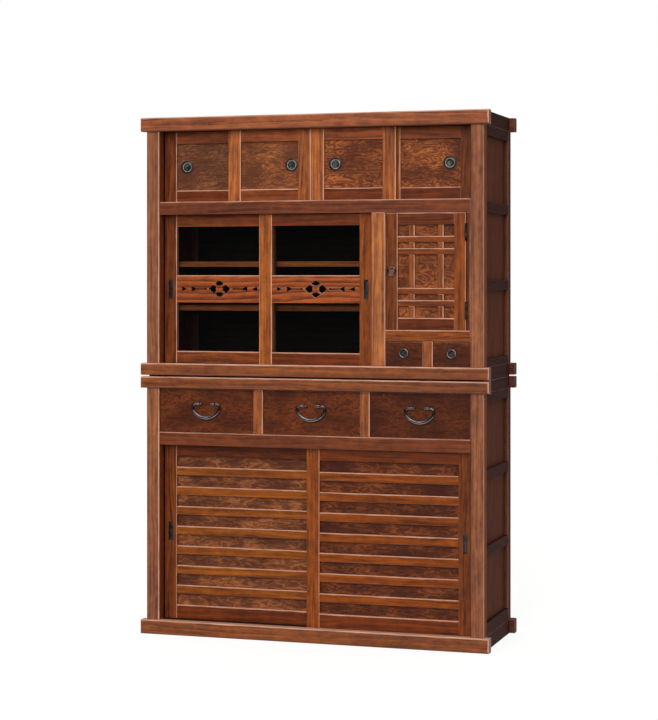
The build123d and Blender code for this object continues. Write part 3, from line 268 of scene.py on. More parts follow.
def figured_zelkova(name, colour, along_mm, across_mm, bands, flames, patches, thin=2.0,
                    contrast=1.0):
    """Burr zelkova cut across its swirls, stained and lacquered: the rings come out as
    thin wavy flames, tan on a dark reddish ground, thick in some places and nearly gone in
    others. along_mm and across_mm are the size of one swirl; its flames are drawn 4 to 8 mm
    wide, where real ones are 1 to 4, because finer ones don't show at this size."""
    material, tree = new_material(name)
    if tree is None:
        return material
    dark, light = (tinted(colour, *(1 + change * contrast for change in changes))
                   for changes in ((-0.52, -0.60, -0.50), (1.00, 1.12, 1.10)))
    place = add(tree, "Attribute", attribute_name="grain").outputs["Vector"]
    swirl = figure(tree, place, 1000 / along_mm, 1000 / across_mm, 3.0, distortion=0.6)["Fac"]
    turns = add(tree, "Math", {0: swirl, 1: bands * 2}, operation="MULTIPLY").outputs[0]
    band = add(tree, "Math", {0: turns, 1: 1.0}, operation="PINGPONG").outputs[0]
    flame = add(tree, "Math", {0: band, 1: thin}, operation="POWER").outputs[0]
    streak = figure(tree, place, 18.0, 150.0, 2.0)["Fac"]
    patch = figure(tree, place, 9.0, 14.0, 1.5)["Fac"]
    shown = add(tree, "MapRange", {"Value": patch, "From Min": 0.35, "From Max": 0.62,
                                   "To Min": 0.25, "To Max": 1.0}).outputs[0]
    flame = add(tree, "Math", {0: flame, 1: shown}, operation="MULTIPLY").outputs[0]
    mixed = laid_over(tree, -0.3 * flames - patches,
                      [(flame, 1.4 * flames), (patch, 2 * patches), (streak, 0.6)])
    shade = add(tree, "ValToRGB", {"Fac": mixed},
                stops=[(0.0, dark), (0.38, opaque(colour)), (1.0, light)]).outputs["Color"]
    under_film(tree, shade, streak, band, 0.12, roughness=0.45)
    return material


def rubbed_highlit_edge(name, colour, worn, roughness=0.34):
    """Zelkova arris, paler and pinker than the face and broken along its length where it
    faces up or to the right, and keeping the stain elsewhere: partly stain thinned by hands
    and cloths, partly a painted highlight on the arrises that catch the light."""
    material, tree = new_material(name)
    if tree is None:
        return material
    place = add(tree, "Attribute", attribute_name="grain").outputs["Vector"]
    rub = figure(tree, place, 12.0, 60.0, 2.0)["Fac"]
    pale = add(tree, "ValToRGB", {"Fac": rub},
               stops=[(0.30, tinted(worn, 0.62, 0.55, 0.5)), (0.62, opaque(worn))])
    # Arrises facing up or to the right are pale: partly wear, partly a painted highlight
    facing = add(tree, "SeparateXYZ", {0: add(tree, "TexCoord").outputs["Normal"]})
    facing = add(tree, "Math", {0: facing.outputs["X"], 1: facing.outputs["Z"]},
                 operation="MAXIMUM")
    share = add(tree, "MapRange", {"Value": facing.outputs[0], "From Min": 0.05,
                                   "From Max": 0.35})
    shade = add(tree, "Mix", {0: share.outputs[0], 6: opaque(colour),
                              7: pale.outputs["Color"]}, data_type="RGBA")
    wood = add(tree, "BsdfPrincipled", {
        "Base Color": shade.outputs[2], "Roughness": roughness, "IOR": CLEAR_IOR})
    add(tree, "OutputMaterial", {"Surface": wood.outputs[0]})
    return material


# ---- Iron and glass ----
def forged_iron(name, colour, wear, roughness=0.38, plate=None, rubbed=False):
    """Wrought iron, forged, blackened in lacquer and heat: nearly black with a soft glint,
    greyer where it is handled, and faintly uneven from the hammer (marks of about 6 mm).
    plate is the colour of the parts left of RING_PLATE_RIGHT. Rubbed iron is paler where it
    faces up or down: partly wear from the fingers that go round it, partly a painted highlight."""
    material, tree = new_material(name)
    if tree is None:
        return material
    place = add(tree, "TexCoord").outputs["Object"]
    hammer = add(tree, "TexNoise", {"Vector": place, "Scale": 1000 / 6,
                                    "Detail": 2.0}).outputs["Fac"]
    share = add(tree, "TexNoise", {"Vector": place, "Scale": 1000 / 14,
                                   "Detail": 3.0}).outputs["Fac"]
    # Paler where facing up or down: partly wear, partly a painted highlight
    if rubbed:
        facing = add(tree, "SeparateXYZ", {0: add(tree, "TexCoord").outputs["Normal"]})
        facing = add(tree, "Math", {0: facing.outputs["Z"]}, operation="ABSOLUTE").outputs[0]
        share = add(tree, "Math", {0: share, 1: 0.35, 2: facing},
                    operation="MULTIPLY_ADD").outputs[0]
    shade = add(tree, "ValToRGB", {"Fac": share},
                stops=[(0.35, opaque(colour)), (0.70, opaque(wear))]).outputs["Color"]
    if plate:
        across = add(tree, "SeparateXYZ", {0: place}).outputs["X"]
        here = add(tree, "Math", {0: across, 1: RING_PLATE_RIGHT},
                   operation="LESS_THAN").outputs[0]
        shade = add(tree, "Mix", {0: here, 6: shade, 7: opaque(plate)},
                    data_type="RGBA").outputs[2]
    sheen = add(tree, "Math", {0: hammer, 1: 0.25, 2: roughness - 0.12},
                operation="MULTIPLY_ADD")
    marks = add(tree, "Bump", {"Height": hammer, "Strength": 0.3, "Distance": HAMMER_DEPTH})
    iron = add(tree, "BsdfPrincipled", {
        "Base Color": shade, "Metallic": 1.0, "Roughness": sheen.outputs[0],
        "Normal": marks.outputs["Normal"]})
    add(tree, "OutputMaterial", {"Surface": iron.outputs[0]})
    return material


def window_glass(name):
    """Drawn sheet glass, polished: clear, faintly grey, with a mirror gloss that grows at
    low angles. Only its outer face reflects, so the thin pane isn't counted twice."""
    material, tree = new_material(name)
    if tree is None:
        return material
    clear = add(tree, "BsdfTransparent", {"Color": linear("#e9eeec")})
    gloss = add(tree, "BsdfGlossy", {"Color": linear("#ffffff"), "Roughness": 0.03})
    share = add(tree, "Fresnel", {"IOR": CLEAR_IOR}).outputs[0]
    facing = add(tree, "NewGeometry").outputs["Backfacing"]
    front = add(tree, "Math", {0: 1.0, 1: facing}, operation="SUBTRACT")
    share = add(tree, "Math", {0: share, 1: front.outputs[0]}, operation="MULTIPLY")
    glass = add(tree, "MixShader", {
        0: share.outputs[0], 1: clear.outputs[0], 2: gloss.outputs[0]})
    add(tree, "OutputMaterial", {"Surface": glass.outputs[0]})
    return material


# ---- Woodwork ----
def boards_of(node):
    """The faces of each board of a CAD node, as corner points, in the order of the CAD."""
    mesh = NODES[node].data
    spots = [tuple(round(c * MICRONS) for c in vertex.co) for vertex in mesh.vertices]
    boards, faces, open_edges = [], [], set()
    for polygon in mesh.polygons:
        corners = [spots[k] for k in polygon.vertices]
        faces.append(corners)
        for start, end in zip(corners, corners[1:] + corners[:1]):
            if start == end:
                continue
            if (end, start) in open_edges:
                open_edges.discard((end, start))
            else:
                open_edges.add((start, end))
        if not open_edges:
            boards.append(faces)
            faces = []
    if faces:
        raise RuntimeError(f"the boards of {node} don't close")
    return boards


def grain_axes(low, high, grain):
    """The board's axis along the grain, then the other two."""
    size = high - low
    along = "XYZ".index(grain) if grain else max(range(3), key=lambda k: size[k])
    return [along] + [k for k in range(3) if k != along]


def cut_from_log(centre):
    """Where in the log a board was cut: anywhere along its 3 m and 3 to 14 cm from its
    heart, so that no two boards look alike."""
    spread = [(centre.dot(Vector(way)) * 9.7) % 1.0
              for way in ((1.3, 0.7, 2.1), (0.9, 1.7, 0.6), (1.9, 0.4, 1.1))]
    return Vector((3.0 * spread[0], 0.04 + 0.10 * spread[1], 0.03 + 0.09 * spread[2]))


def stand_in(name, mesh, node):
    """A piece that stands for a CAD node, or for some boards of it, and rides on its body."""
    piece = bpy.data.objects.new(name, mesh)
    bpy.context.scene.collection.objects.link(piece)
    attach(piece, NODES[node]["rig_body"])
    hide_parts(node)
    return piece


def woodwork(name, node, woods, edge, ease, picks=None, grain=None,
             flank=None):
    """One piece of joinery: the picked boards of a CAD node, or all of them, with eased edges,
    whose rubbed colour is partly wear and partly a painted highlight, and with the grain laid
    along them. woods is one material, or one for each board. The flank material, where given,
    is a darker one for the faces towards the cabinet's sides: painted shade."""
    boards = boards_of(node)
    picks = range(len(boards)) if picks is None else picks
    woods = woods if isinstance(woods, list) else [woods] * len(picks)
    slots = list(dict.fromkeys(material.name for material in woods + [flank] if material))
    shape = bmesh.new()
    layer = shape.loops.layers.float_vector.new("grain")
    margin = shape.loops.layers.float_vector.new("margin")
    for pick, wood in zip(picks, woods):
        corners = sorted({corner for face in boards[pick] for corner in face})
        points = {corner: shape.verts.new([c * MICRON for c in corner]) for corner in corners}
        low, high = (Vector([most(c[k] for c in corners) for k in range(3)]) * MICRON
                     for most in (min, max))
        axes, centre = grain_axes(low, high, grain), (low + high) / 2
        shift = cut_from_log(centre)
        for face in boards[pick]:
            loop = list(dict.fromkeys(face))
            if len(loop) < 3:
                continue
            made = shape.faces.new([points[corner] for corner in loop])
            made.smooth = True
            made.normal_update()
            # Faces towards the sides take the darker flank material, which paints their shade
            finish = flank if flank and abs(made.normal.x) > FLANK else wood
            made.material_index = slots.index(finish.name)
            for corner in made.loops:
                out = corner.vert.co - centre
                corner[layer] = Vector([out[k] for k in axes]) + shift
                spot = corner.vert.co
                corner[margin] = (high.x - spot.x, high.z - spot.z, spot.x - low.x)
    bmesh.ops.dissolve_limit(shape, angle_limit=SAME_PLANE, verts=shape.verts,
                             edges=shape.edges)
    # Only outer corners are eased, so that tongues keep their play in the grooves
    eased = shape.edges.layers.float.new("bevel_weight_edge")
    for rim in shape.edges:
        if len(rim.link_faces) == 2 and rim.calc_face_angle_signed() > ARRIS:
            rim[eased] = 1.0
    # The small chamfers of the CAD are arrises as well
    for face in shape.faces:
        tilt = max(abs(c) for c in face.normal)
        if CHAMFER_LOW < tilt < CHAMFER_HIGH and face.calc_area() < CHAMFER_AREA:
            face.material_index = len(slots)
    mesh = bpy.data.meshes.new(name)
    shape.to_mesh(mesh)
    shape.free()
    for slot_name in slots:
        mesh.materials.append(bpy.data.materials[slot_name])
    mesh.materials.append(edge)
    rounding = stand_in(name, mesh, node).modifiers.new("eased edges", "BEVEL")
    rounding.width = ease
    rounding.segments = 2
    rounding.limit_method = "WEIGHT"
    rounding.harden_normals = True
    rounding.material = len(slots)


def dress(node, material):
    """Gives a CAD node one material all over."""
    mesh = NODES[node].data
    mesh.materials.clear()
    mesh.materials.append(material)


# ---- What a user would change ----
def swatch(name, description, hex_colour):
    """A colour that the user can change."""
    return bpy.props.FloatVectorProperty(name=name, description=description, size=4, min=0.0,
                                         max=1.0, subtype="COLOR", default=linear(hex_colour))


def length(name, description, metres):
    """A length that the user can change."""
    return bpy.props.FloatProperty(name=name, description=description, default=metres,
                                   min=0.0, subtype="DISTANCE", unit="LENGTH")


class CabinetSizes(bpy.types.PropertyGroup):
    """Sizes of the finish and of the studio."""
    frame_ease: length("Frame ease", "Rounding of the frame timber", 0.0012)
    door_ease: length("Door ease", "Rounding of door stiles and rails", 0.0016)
    bar_ease: length("Bar ease", "Rounding of slats and lattice bars", 0.0020)
    board_ease: length("Board ease", "Rounding of panels and inner boards", 0.0010)
    ring_width: length("Ring width", "Drawn distance between annual rings", 0.016)
    streak_width: length("Streak width", "Drawn width of the pore streaks", 0.007)
    # The reach of the pale margins, partly wear and partly painted highlight
    worn_width: length("Worn width", "Reach of the worn margins of door timber", 0.004)
    floor_size: length("Floor size", "Side of the studio floor", 12.0)


class CabinetColours(bpy.types.PropertyGroup):
    """Colours of the woods, the iron and the studio."""
    crown: swatch("Crown rail", "Reddest of the frame timber", "#8e4d2c")
    post: swatch("Posts", "Corner posts", "#854f33")
    rail: swatch("Long rails", "Rails between the units and at the foot", "#7b4223")
    inner_frame: swatch("Inner frame", "Rails and posts inside the front", "#683219")
    drawer_divider: swatch("Drawer dividers", "Uprights between the drawers", "#8a4a25")
    back_frame: swatch("Back frame", "Posts and long rails at the back", "#5e3320")
    divider: swatch("Divider", "Post beside the lattice door", "#9a5a32")
    # The flanks are the posts' wood, darkened as painted shade on the faces towards the sides
    flank: swatch("Flanks", "Sides of the corner posts", "#7f401e")
    small_door: swatch("Small doors", "Stiles of the small doors", "#9b5427")
    # These small stiles are darker as painted shade
    small_door_deep: swatch("Deep small stiles", "Right stiles of the middle small doors",
                            "#8c4a20")
    # The darker door colour is also painted shade, on stiles set back beside the posts and on the
    # rear track
    door: swatch("Doors", "Stiles of the other doors", "#69300a")
    door_bright: swatch("Bright stiles", "Stiles of the front doors", "#7e3c0f")
    door_pale: swatch("Palest stile", "Stile in the middle of the glass doors", "#964f1c")
    door_rail: swatch("Door rails", "Rails of most doors", "#622805")
    door_rail_bright: swatch("Bright rails", "Rails of the lighter doors", "#7b3a12")
    # The small top rails are lighter as painted light, against the crown rail's shade
    small_top_rail: swatch("Small top rails", "Top rails of the small doors", "#84401c")
    lattice_bar: swatch("Lattice bars", "Cross bars of the lattice", "#753508")
    transom: swatch("Transoms", "Pierced boards of the glass doors", "#8a4119")
    lattice_upright: swatch("Lattice uprights", "Uprights of the lattice", "#7e4019")
    slat: swatch("Slats", "Slats of the left lower door", "#82420c")
    slat_right: swatch("Right slats", "Slats of the right lower door", "#803b05")
    burl: swatch("Burr panel", "Panel of the second small door", "#7c4522")
    burl_dark: swatch("Dark burr panel", "Panel of the first small door", "#6b3d22")
    burl_lively: swatch("Lively burr panels", "Panels of the other small doors", "#7e421c")
    lattice_burl: swatch("Lattice panel", "Panel behind the lattice", "#763d1a")
    slat_burl: swatch("Slatted panels", "Panels behind the slats", "#713f22")
    slat_burl_right: swatch("Right slatted panel", "Panel of the front slatted door", "#5c2b11")
    drawer: swatch("Drawer fronts", "Fronts of most drawers", "#562509")
    drawer_dark: swatch("Dark drawers", "Fronts of the darker drawers", "#4b1e06")
    drawer_box: swatch("Drawer boxes", "Sides, backs and bottoms of drawers", "#9c7250")
    # The side panels' dark stain and the side bars are darkened further as painted shade
    side_panel: swatch("Side panels", "Panels in the sides", "#592a15")
    side_bar: swatch("Side bars", "Cross bars of the sides", "#371004")
    # Inside and back are a dark stain made darker still, as painted shade for the inside
    inside: swatch("Inside", "Floors, runners and partitions", "#2a180f")
    shelf: swatch("Shelves", "Shelves behind the glass", "#9a4d20")
    back: swatch("Back", "Back and top boards", "#170e0a")
    # The arris colours are partly wear and partly a painted highlight; the sides' are dimmer
    edge: swatch("Rubbed edges", "Worn arrises", "#d9a287")
    side_edge: swatch("Side edges", "Worn arrises of the sides", "#6e4a40")
    iron: swatch("Blackened iron", "Bails, hinges and cups", "#232225")
    iron_wear: swatch("Iron wear", "Handled patches of black iron", "#4a4648")
    # The bails' pale patches are partly wear and partly a painted highlight
    bail_wear_and_highlight: swatch("Bail wear", "Handled patches of the bails", "#938e8e")
    dull_iron: swatch("Dull iron", "Rings of the drawers and the lattice", "#86807a")
    dull_iron_pit: swatch("Dull iron pits", "Dark patches of the dull iron", "#4c4845")
    bronze: swatch("Bronzed plate", "Plate behind the lattice ring", "#7a4c38")
    grey_highlight_iron: swatch("Grey iron", "Rings and cup walls", "#b9b4aa")
    grey_iron_pit: swatch("Grey iron pits", "Dark patches of the grey iron", "#77746c")
    floor: swatch("Floor", "Studio floor", "#8f8f8d")


def sizes():
    return bpy.context.scene.cabinet_sizes


def colours():
    return bpy.context.scene.cabinet_colours


def zelkova(name, colour, **changes):
    """A lacquered zelkova at the ring and streak widths that the user chose."""
    widths = {"ring_mm": sizes().ring_width * 1000, "streak_mm": sizes().streak_width * 1000}
    return lacquered_zelkova(name, colour, **{**widths, **changes})


def worn_highlit_zelkova(name, colour, **changes):
    """The same with pale margins, partly wear and partly a painted highlight, for the timber
    of the front.
    """
    return zelkova(f"zelkova_lacquered_{name}", colour, worn=colours().edge,
                   **{"worn_mm": sizes().worn_width * 1000, **changes})


def highlit_edge_wood():
    return rubbed_highlit_edge("zelkova_rubbed_arris", colours().inner_frame, colours().edge)


def highlit_side_edge_wood():
    return rubbed_highlit_edge("zelkova_dark_arris", colours().side_bar, colours().side_edge, 0.6)


def soft_highlit_edge_wood():
    return rubbed_highlit_edge("zelkova_soft_arris", colours().inner_frame,
                       tinted(colours().edge, 0.55, 0.48, 0.46))


def shaded_side_panel_wood():
    """Thin lacquer, matt, with calm grain, as on the two next ones; the panel and the back
    frame are a dark stain, and the panel's colour is darkened further as painted shade on
    the cabinet's sides.
    """
    return zelkova("zelkova_dark_side_panel", colours().side_panel, contrast=0.7, run=24,
                   **MATT)


def back_frame_wood():
    return zelkova("zelkova_dark_back_frame", colours().back_frame, streaks=0.5, run=50,
                   **{**MATT, "roughness": 0.6})


# The posts' wood, darker and matt: painted shade on the faces towards the sides
def shaded_flank_wood():
    return zelkova("zelkova_dark_flank", colours().flank, streaks=0.3, tones=0.2, contrast=0.7,
                   **MATT)


def upright_wood():
    return worn_highlit_zelkova("upright", colours().divider, streaks=0.75, run=60, worn_share=0.55)


def drawer_divider_wood():
    return worn_highlit_zelkova("drawer_divider", colours().drawer_divider, streaks=0.5)


def rail_wood(tone="door_rail"):
    return worn_highlit_zelkova(tone, getattr(colours(), tone), streaks=0.5, rings=0.35, run=40)


def door_wood(tone="door", share=0.85):
    """Wood of stiles and bars in one of the door colours, with pale margins of wear and
    painted highlight by the share given.
    """
    return worn_highlit_zelkova(f"{tone}_worn_{share * 100:.0f}", getattr(colours(), tone),
                        streaks=0.75, rings=0.25, tones=0.2, worn_share=share,
                        left_too=tone == "door_pale")


def door_part(door, part, woods, ease, picks, grain=None):
    """Some boards of one door as a piece of their own."""
    woodwork(f"{door}_{part}", door, woods, highlit_edge_wood(), ease, picks, grain)


def door_frame(door, left, right, bottom=None, top=None):
    """The left and right stile and the bottom and top rail of one door."""
    door_part(door, "frame", [left, right, bottom or rail_wood(), top or rail_wood()],
              sizes().door_ease, range(4))


def burr_panel(door, burl, pick):
    """The panel of one door, whose swirls run across it."""
    door_part(door, "burr_panel", burl, sizes().board_ease, [pick], "X")


def shaded_inside_wood():
    """Cedar, stained dark and not lacquered, and matt; its colour is darkened further as
    painted shade for the inside.
    """
    return zelkova("cedar_stained_inside", colours().inside, streaks=0.5, roughness=0.7,
                   gloss=0.08, coat=0.0)


def drawer_box_wood():
    """Planed bare wood: pale, matt, with long soft rings."""
    return zelkova("paulownia_planed_drawer_box", colours().drawer_box, streaks=0.3, rings=0.5,
                   contrast=0.5, run=50, **MATT)


def black_iron():
    return forged_iron("iron_forged_blackened", colours().iron, colours().iron_wear)


def bail_iron():
    """Smooth from the hand, and paler along the top and the bottom: partly wear, partly a
    painted highlight.
    """
    return forged_iron("iron_forged_rubbed", colours().iron, colours().bail_wear_and_highlight, 0.28,
                       rubbed=True)


def grey_highlight_iron():
    """Light grey iron with darker pits, rather rough: a painted highlight on the cups' sloping
    walls, for the light that they catch.
    """
    return forged_iron("iron_forged_rubbed_grey", colours().grey_iron_pit, colours().grey_highlight_iron,
                       0.52)


def dull_iron():
    """The same left duller, as on little-used rings."""
    return forged_iron("iron_forged_dull_grey", colours().dull_iron_pit, colours().dull_iron,
                       0.45)


# ---- Operators, one for each group of like pieces ----
class CABINET_OT_long_rails(bpy.types.Operator):
    """Build the eight long rails of the two units"""
    bl_idname = "cabinet.long_rails"
    bl_label = "Long rails"

    def execute(self, context):
        ease = sizes().frame_ease
        crown, rail = [
            worn_highlit_zelkova(name, colour, rings=rings, run=50, worn_mm=5.5)
            for name, colour, rings in (("crown", colours().crown, 0.4),
                                        ("rail", colours().rail, 0.35))]
        for node, wood in (("crown_rails", crown), ("upper_sill_rails", rail),
                           ("lower_top_rails", rail), ("base_rails", rail)):
            woodwork(f"{node}_front", node, wood, highlit_edge_wood(), ease, picks=[0])
            woodwork(f"{node}_back", node, back_frame_wood(), highlit_side_edge_wood(), ease, picks=[1])
        return {"FINISHED"}


class CABINET_OT_posts(bpy.types.Operator):
    """Build the corner posts of the two units"""
    bl_idname = "cabinet.posts"
    bl_label = "Corner posts"

    def execute(self, context):
        post, calm = [
            worn_highlit_zelkova(name, colours().post, rings=0.2, streaks=0.6, tones=0.2, run=60,
                         worn_mm=4.5, worn_share=share)
            for name, share in (("post", 0.6), ("right_post", 0.15))]
        for node in ("lower_posts", "upper_posts"):
            # The pale margins and arrises, partly wear and partly painted highlight, are strongest
            # on the left front post, fainter on the right one and faintest on the back ones
            for place, picks, wood, edge, flank in (
                    ("front_left", [0], post, highlit_edge_wood(), shaded_flank_wood()),
                    ("front_right", [1], calm, soft_highlit_edge_wood(), shaded_flank_wood()),
                    ("back", [2, 3], back_frame_wood(), highlit_side_edge_wood(), shaded_side_panel_wood())):
                woodwork(f"{node}_{place}", node, wood, edge, sizes().frame_ease, picks=picks,
                         flank=flank)
        return {"FINISHED"}


class CABINET_OT_sides(bpy.types.Operator):
    """Build the rails, bars and panels of the two sides"""
    bl_idname = "cabinet.sides"
    bl_label = "Sides"

    def execute(self, context):
        # The bars are of the frame's wood; their near-black colour is painted shade on the sides
        bar = zelkova("zelkova_dark_bar", colours().side_bar, streaks=0.3, contrast=0.6, **MATT)
        edge = highlit_side_edge_wood()
        woodwork("side_rails_timber", "side_rails", bar, edge, sizes().board_ease)
        woodwork("side_bars_timber", "side_bars", bar, edge, sizes().board_ease)
        woodwork("side_panels_boards", "side_panels", shaded_side_panel_wood(), edge,
                 sizes().board_ease, grain="Z")
        return {"FINISHED"}


class CABINET_OT_front_frame(bpy.types.Operator):
    """Build the rails and posts inside the front"""
    bl_idname = "cabinet.front_frame"
    bl_label = "Front frame"

    def execute(self, context):
        ease = sizes().door_ease
        rail = worn_highlit_zelkova("inner_rail", colours().inner_frame, rings=0.35, run=50,
                            worn_share=0.6)
        for node in ("mid_rail", "drawer_rail"):
            woodwork(f"{node}_timber", node, rail, highlit_edge_wood(), ease)
        woodwork("lattice_rail_timber", "lattice_rail", door_wood("door_bright"), highlit_edge_wood(),
                 ease)
        woodwork("drawer_dividers_timber", "drawer_dividers", drawer_divider_wood(),
                 highlit_edge_wood(), ease)
        # Divider post, then hinge jamb and door stop, which lie in shade: their darker rail wood
        # is painted shade
        woodwork("bay_posts_timber", "bay_posts", [upright_wood(), rail_wood(), rail_wood()],
                 highlit_edge_wood(), ease)
        return {"FINISHED"}


class CABINET_OT_inside(bpy.types.Operator):
    """Build the boards, tracks, runners, partitions and shelves inside"""
    bl_idname = "cabinet.inside"
    bl_label = "Inside"

    def execute(self, context):
        ease = sizes().board_ease
        # The shelves are stained like the front; the back and the top are a dark stain made
        # nearly black, as painted shade for the inside
        shelf = zelkova("cedar_stained_shelf", colours().shelf, streaks=0.4, rings=0.4,
                        contrast=0.8)
        back = zelkova("cedar_smoked_back", colours().back, streaks=0.7, rings=0.5,
                       contrast=1.4, roughness=0.7, gloss=0.08)
        for node in ("back_panels", "top_boards"):
            woodwork(f"{node}_boards", node, back, back, ease)
        for node in ("floor_boards", "door_tracks", "drawer_runners", "inner_boards",
                     "shelf_cleats"):
            woodwork(f"{node}_timber", node, shaded_inside_wood(), shaded_inside_wood(), ease)
        # The second partition stands between the small drawers and shows its front edge
        woodwork("bay_partitions_timber", "bay_partitions", shaded_inside_wood(), shaded_inside_wood(), ease,
                 picks=[0, 2, 3, 4])
        woodwork("bay_partitions_upright", "bay_partitions", drawer_divider_wood(),
                 highlit_edge_wood(), ease, picks=[1])
        woodwork("shelves_boards", "shelves", shelf, shelf, ease)
        return {"FINISHED"}


class CABINET_OT_small_doors(bpy.types.Operator):
    """Build the four small sliding doors"""
    bl_idname = "cabinet.small_doors"
    bl_label = "Small doors"

    def execute(self, context):
        stile, shaded_stile = [
            worn_highlit_zelkova(f"small_{name}", colour, streaks=0.8, rings=0.25)
            for name, colour in (("stile", colours().small_door),
                                 ("right_stile", colours().small_door_deep))]
        # The left doors' panels are duller than the right ones'
        burls = [figured_zelkova(f"zelkova_burr_small_door_{name}", colour, along_mm=60,
                                 across_mm=18, bands=7, flames=0.75, patches=0.3, thin=2.4,
                                 contrast=contrast)
                 for name, colour, contrast in (("dark", colours().burl_dark, 0.7),
                                                ("plain", colours().burl, 0.85),
                                                ("lively", colours().burl_lively, 1.1))]
        for k in range(1, 5):
            node = f"small_door_{k}"
            # The outer stiles lie further back, and their darker colour is painted shade, as is
            # that of the right stiles of the middle doors. The top rails lie in the crown rail's
            # shade and take a lighter colour as painted light.
            left = door_wood() if k == 1 else stile
            right = (door_wood("door_bright"), shaded_stile, shaded_stile, door_wood())[k - 1]
            bottom = rail_wood("door_rail_bright" if k == 2 else "door_rail")
            door_frame(node, left, right, bottom, rail_wood("small_top_rail"))
            burr_panel(node, burls[min(k - 1, 2)], 4)
        return {"FINISHED"}


class CABINET_OT_round_pulls(bpy.types.Operator):
    """Turn the round finger cups of the small doors"""
    bl_idname = "cabinet.round_pulls"
    bl_label = "Round pulls"

    def execute(self, context):
        # The grey iron paints a highlight on the sloping cup wall
        black, grey = black_iron(), grey_highlight_iron()
        # Cast, not forged: greyer and rougher than the rim
        floor = forged_iron("iron_cast_cup_floor", linear("#262825"), linear("#5d605a"), 0.5)
        for k in range(1, 5):
            node = f"small_door_{k}_pull"
            low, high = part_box(node)
            across, up = (low.x + high.x) / 2, (low.z + high.z) / 2
            shape = bmesh.new()
            loops = []
            for radius, depth, _ in CUP_PROFILE:
                # A loop of no radius is one point
                turns = [math.tau * t / CUP_FACETS for t in range(CUP_FACETS if radius else 1)]
                points = [shape.verts.new((across + radius * math.cos(turn), low.y + depth,
                                           up + radius * math.sin(turn))) for turn in turns]
                loops.append(points if radius else points * CUP_FACETS)
            for near, far, (_, _, finish) in zip(loops, loops[1:], CUP_PROFILE):
                for t in range(CUP_FACETS):
                    ring = [near[t - 1], near[t], far[t], far[t - 1]]
                    face = shape.faces.new(list(dict.fromkeys(ring)))
                    face.smooth = True
                    face.material_index = finish
            bmesh.ops.recalc_face_normals(shape, faces=shape.faces)
            mesh = bpy.data.meshes.new(f"{node}_cup")
            shape.to_mesh(mesh)
            shape.free()
            mesh.set_sharp_from_angle(angle=CUP_CREASE)
            for material in (black, grey, floor):
                mesh.materials.append(material)
            stand_in(f"{node}_cup", mesh, node)
        return {"FINISHED"}


class CABINET_OT_glass_doors(bpy.types.Operator):
    """Build the two glazed sliding doors"""
    bl_idname = "cabinet.glass_doors"
    bl_label = "Glass doors"

    def execute(self, context):
        transom = worn_highlit_zelkova("transom", colours().transom, ring_mm=14, rings=0.9,
                               streaks=0.4, run=12)
        for side in DOOR_SIDES:
            node = f"glass_door_{side}"
            # The left door's left stile lies in the left post's shade: its darker colour is
            # painted shade
            left, rail = (("door", "door_rail_bright") if side == "left"
                          else ("door_pale", "door_rail"))
            door_frame(node, door_wood(left), door_wood("door_bright"), rail_wood(rail),
                       rail_wood(rail))
            door_part(node, "transom", transom, sizes().board_ease, [4])
            dress(f"{node}_pane", window_glass("glass_sheet_polished"))
        return {"FINISHED"}


class CABINET_OT_slatted_doors(bpy.types.Operator):
    """Build the two slatted sliding doors"""
    bl_idname = "cabinet.slatted_doors"
    bl_label = "Slatted doors"

    def execute(self, context):
        slats = [worn_highlit_zelkova(f"{side}_slat", colour, streaks=0.55, run=45)
                 for side, colour in zip(DOOR_SIDES, (colours().slat, colours().slat_right))]
        burls = [figured_zelkova(f"zelkova_burr_behind_{side}_slats", colour, along_mm=55,
                                 across_mm=18, bands=5, flames=0.65, patches=0.5, contrast=1.05)
                 for side, colour in zip(DOOR_SIDES, (colours().slat_burl,
                                                      colours().slat_burl_right))]
        for side, slat, burl in zip(DOOR_SIDES, slats, burls):
            node = f"lower_door_{side}"
            # After the frame's four boards come the slats, and the panel is the last
            count = len(boards_of(node))
            # The rear left door and the right door's stile by the right post lie in shade: their
            # darker door colour is painted shade
            door_frame(node, door_wood("door_bright" if side == "right" else "door", 0.45),
                       door_wood("door", 0.45))
            door_part(node, "slats", slat, sizes().bar_ease, range(4, count - 1))
            burr_panel(node, burl, count - 1)
        return {"FINISHED"}


class CABINET_OT_lattice_door(bpy.types.Operator):
    """Build the hinged lattice door"""
    bl_idname = "cabinet.lattice_door"
    bl_label = "Lattice door"

    def execute(self, context):
        burl = figured_zelkova("zelkova_burr_lattice_door", colours().lattice_burl, along_mm=70,
                               across_mm=55, bands=10, flames=0.75, patches=0.25, thin=1.3)
        node = "lattice_door"
        # After the frame's four boards come the panel, two uprights and the cross bars
        count = len(boards_of(node))
        door_frame(node, door_wood("door", 0.5), door_wood("door_bright", 0.5))
        burr_panel(node, burl, 4)
        upright = rail_wood("lattice_upright")
        bars = [upright] * 2 + [rail_wood("lattice_bar")] * (count - 7)
        door_part(node, "bars", bars, sizes().bar_ease, range(5, count))
        return {"FINISHED"}


class CABINET_OT_small_fittings(bpy.types.Operator):
    """Finish the finger pulls, the hinges and the ring pulls"""
    bl_idname = "cabinet.small_fittings"
    bl_label = "Small fittings"

    def execute(self, context):
        for door in ("glass_door", "lower_door"):
            for side in DOOR_SIDES:
                dress(f"{door}_{side}_pull", black_iron())
        for node in ("lattice_hinge_fixed_leaves", "small_drawer_1_plate",
                     "small_drawer_2_plate"):
            dress(node, black_iron())
        for node in ("small_drawer_1_ring", "small_drawer_2_ring"):
            dress(node, dull_iron())
        dress("lattice_door_ring", bail_iron())
        # The ring's plate is bronzed; the hinge leaves of the same node are black
        dress("lattice_door_fittings", forged_iron(
            "iron_forged_with_bronzed_plate", colours().iron, colours().iron_wear,
            plate=colours().bronze))
        return {"FINISHED"}


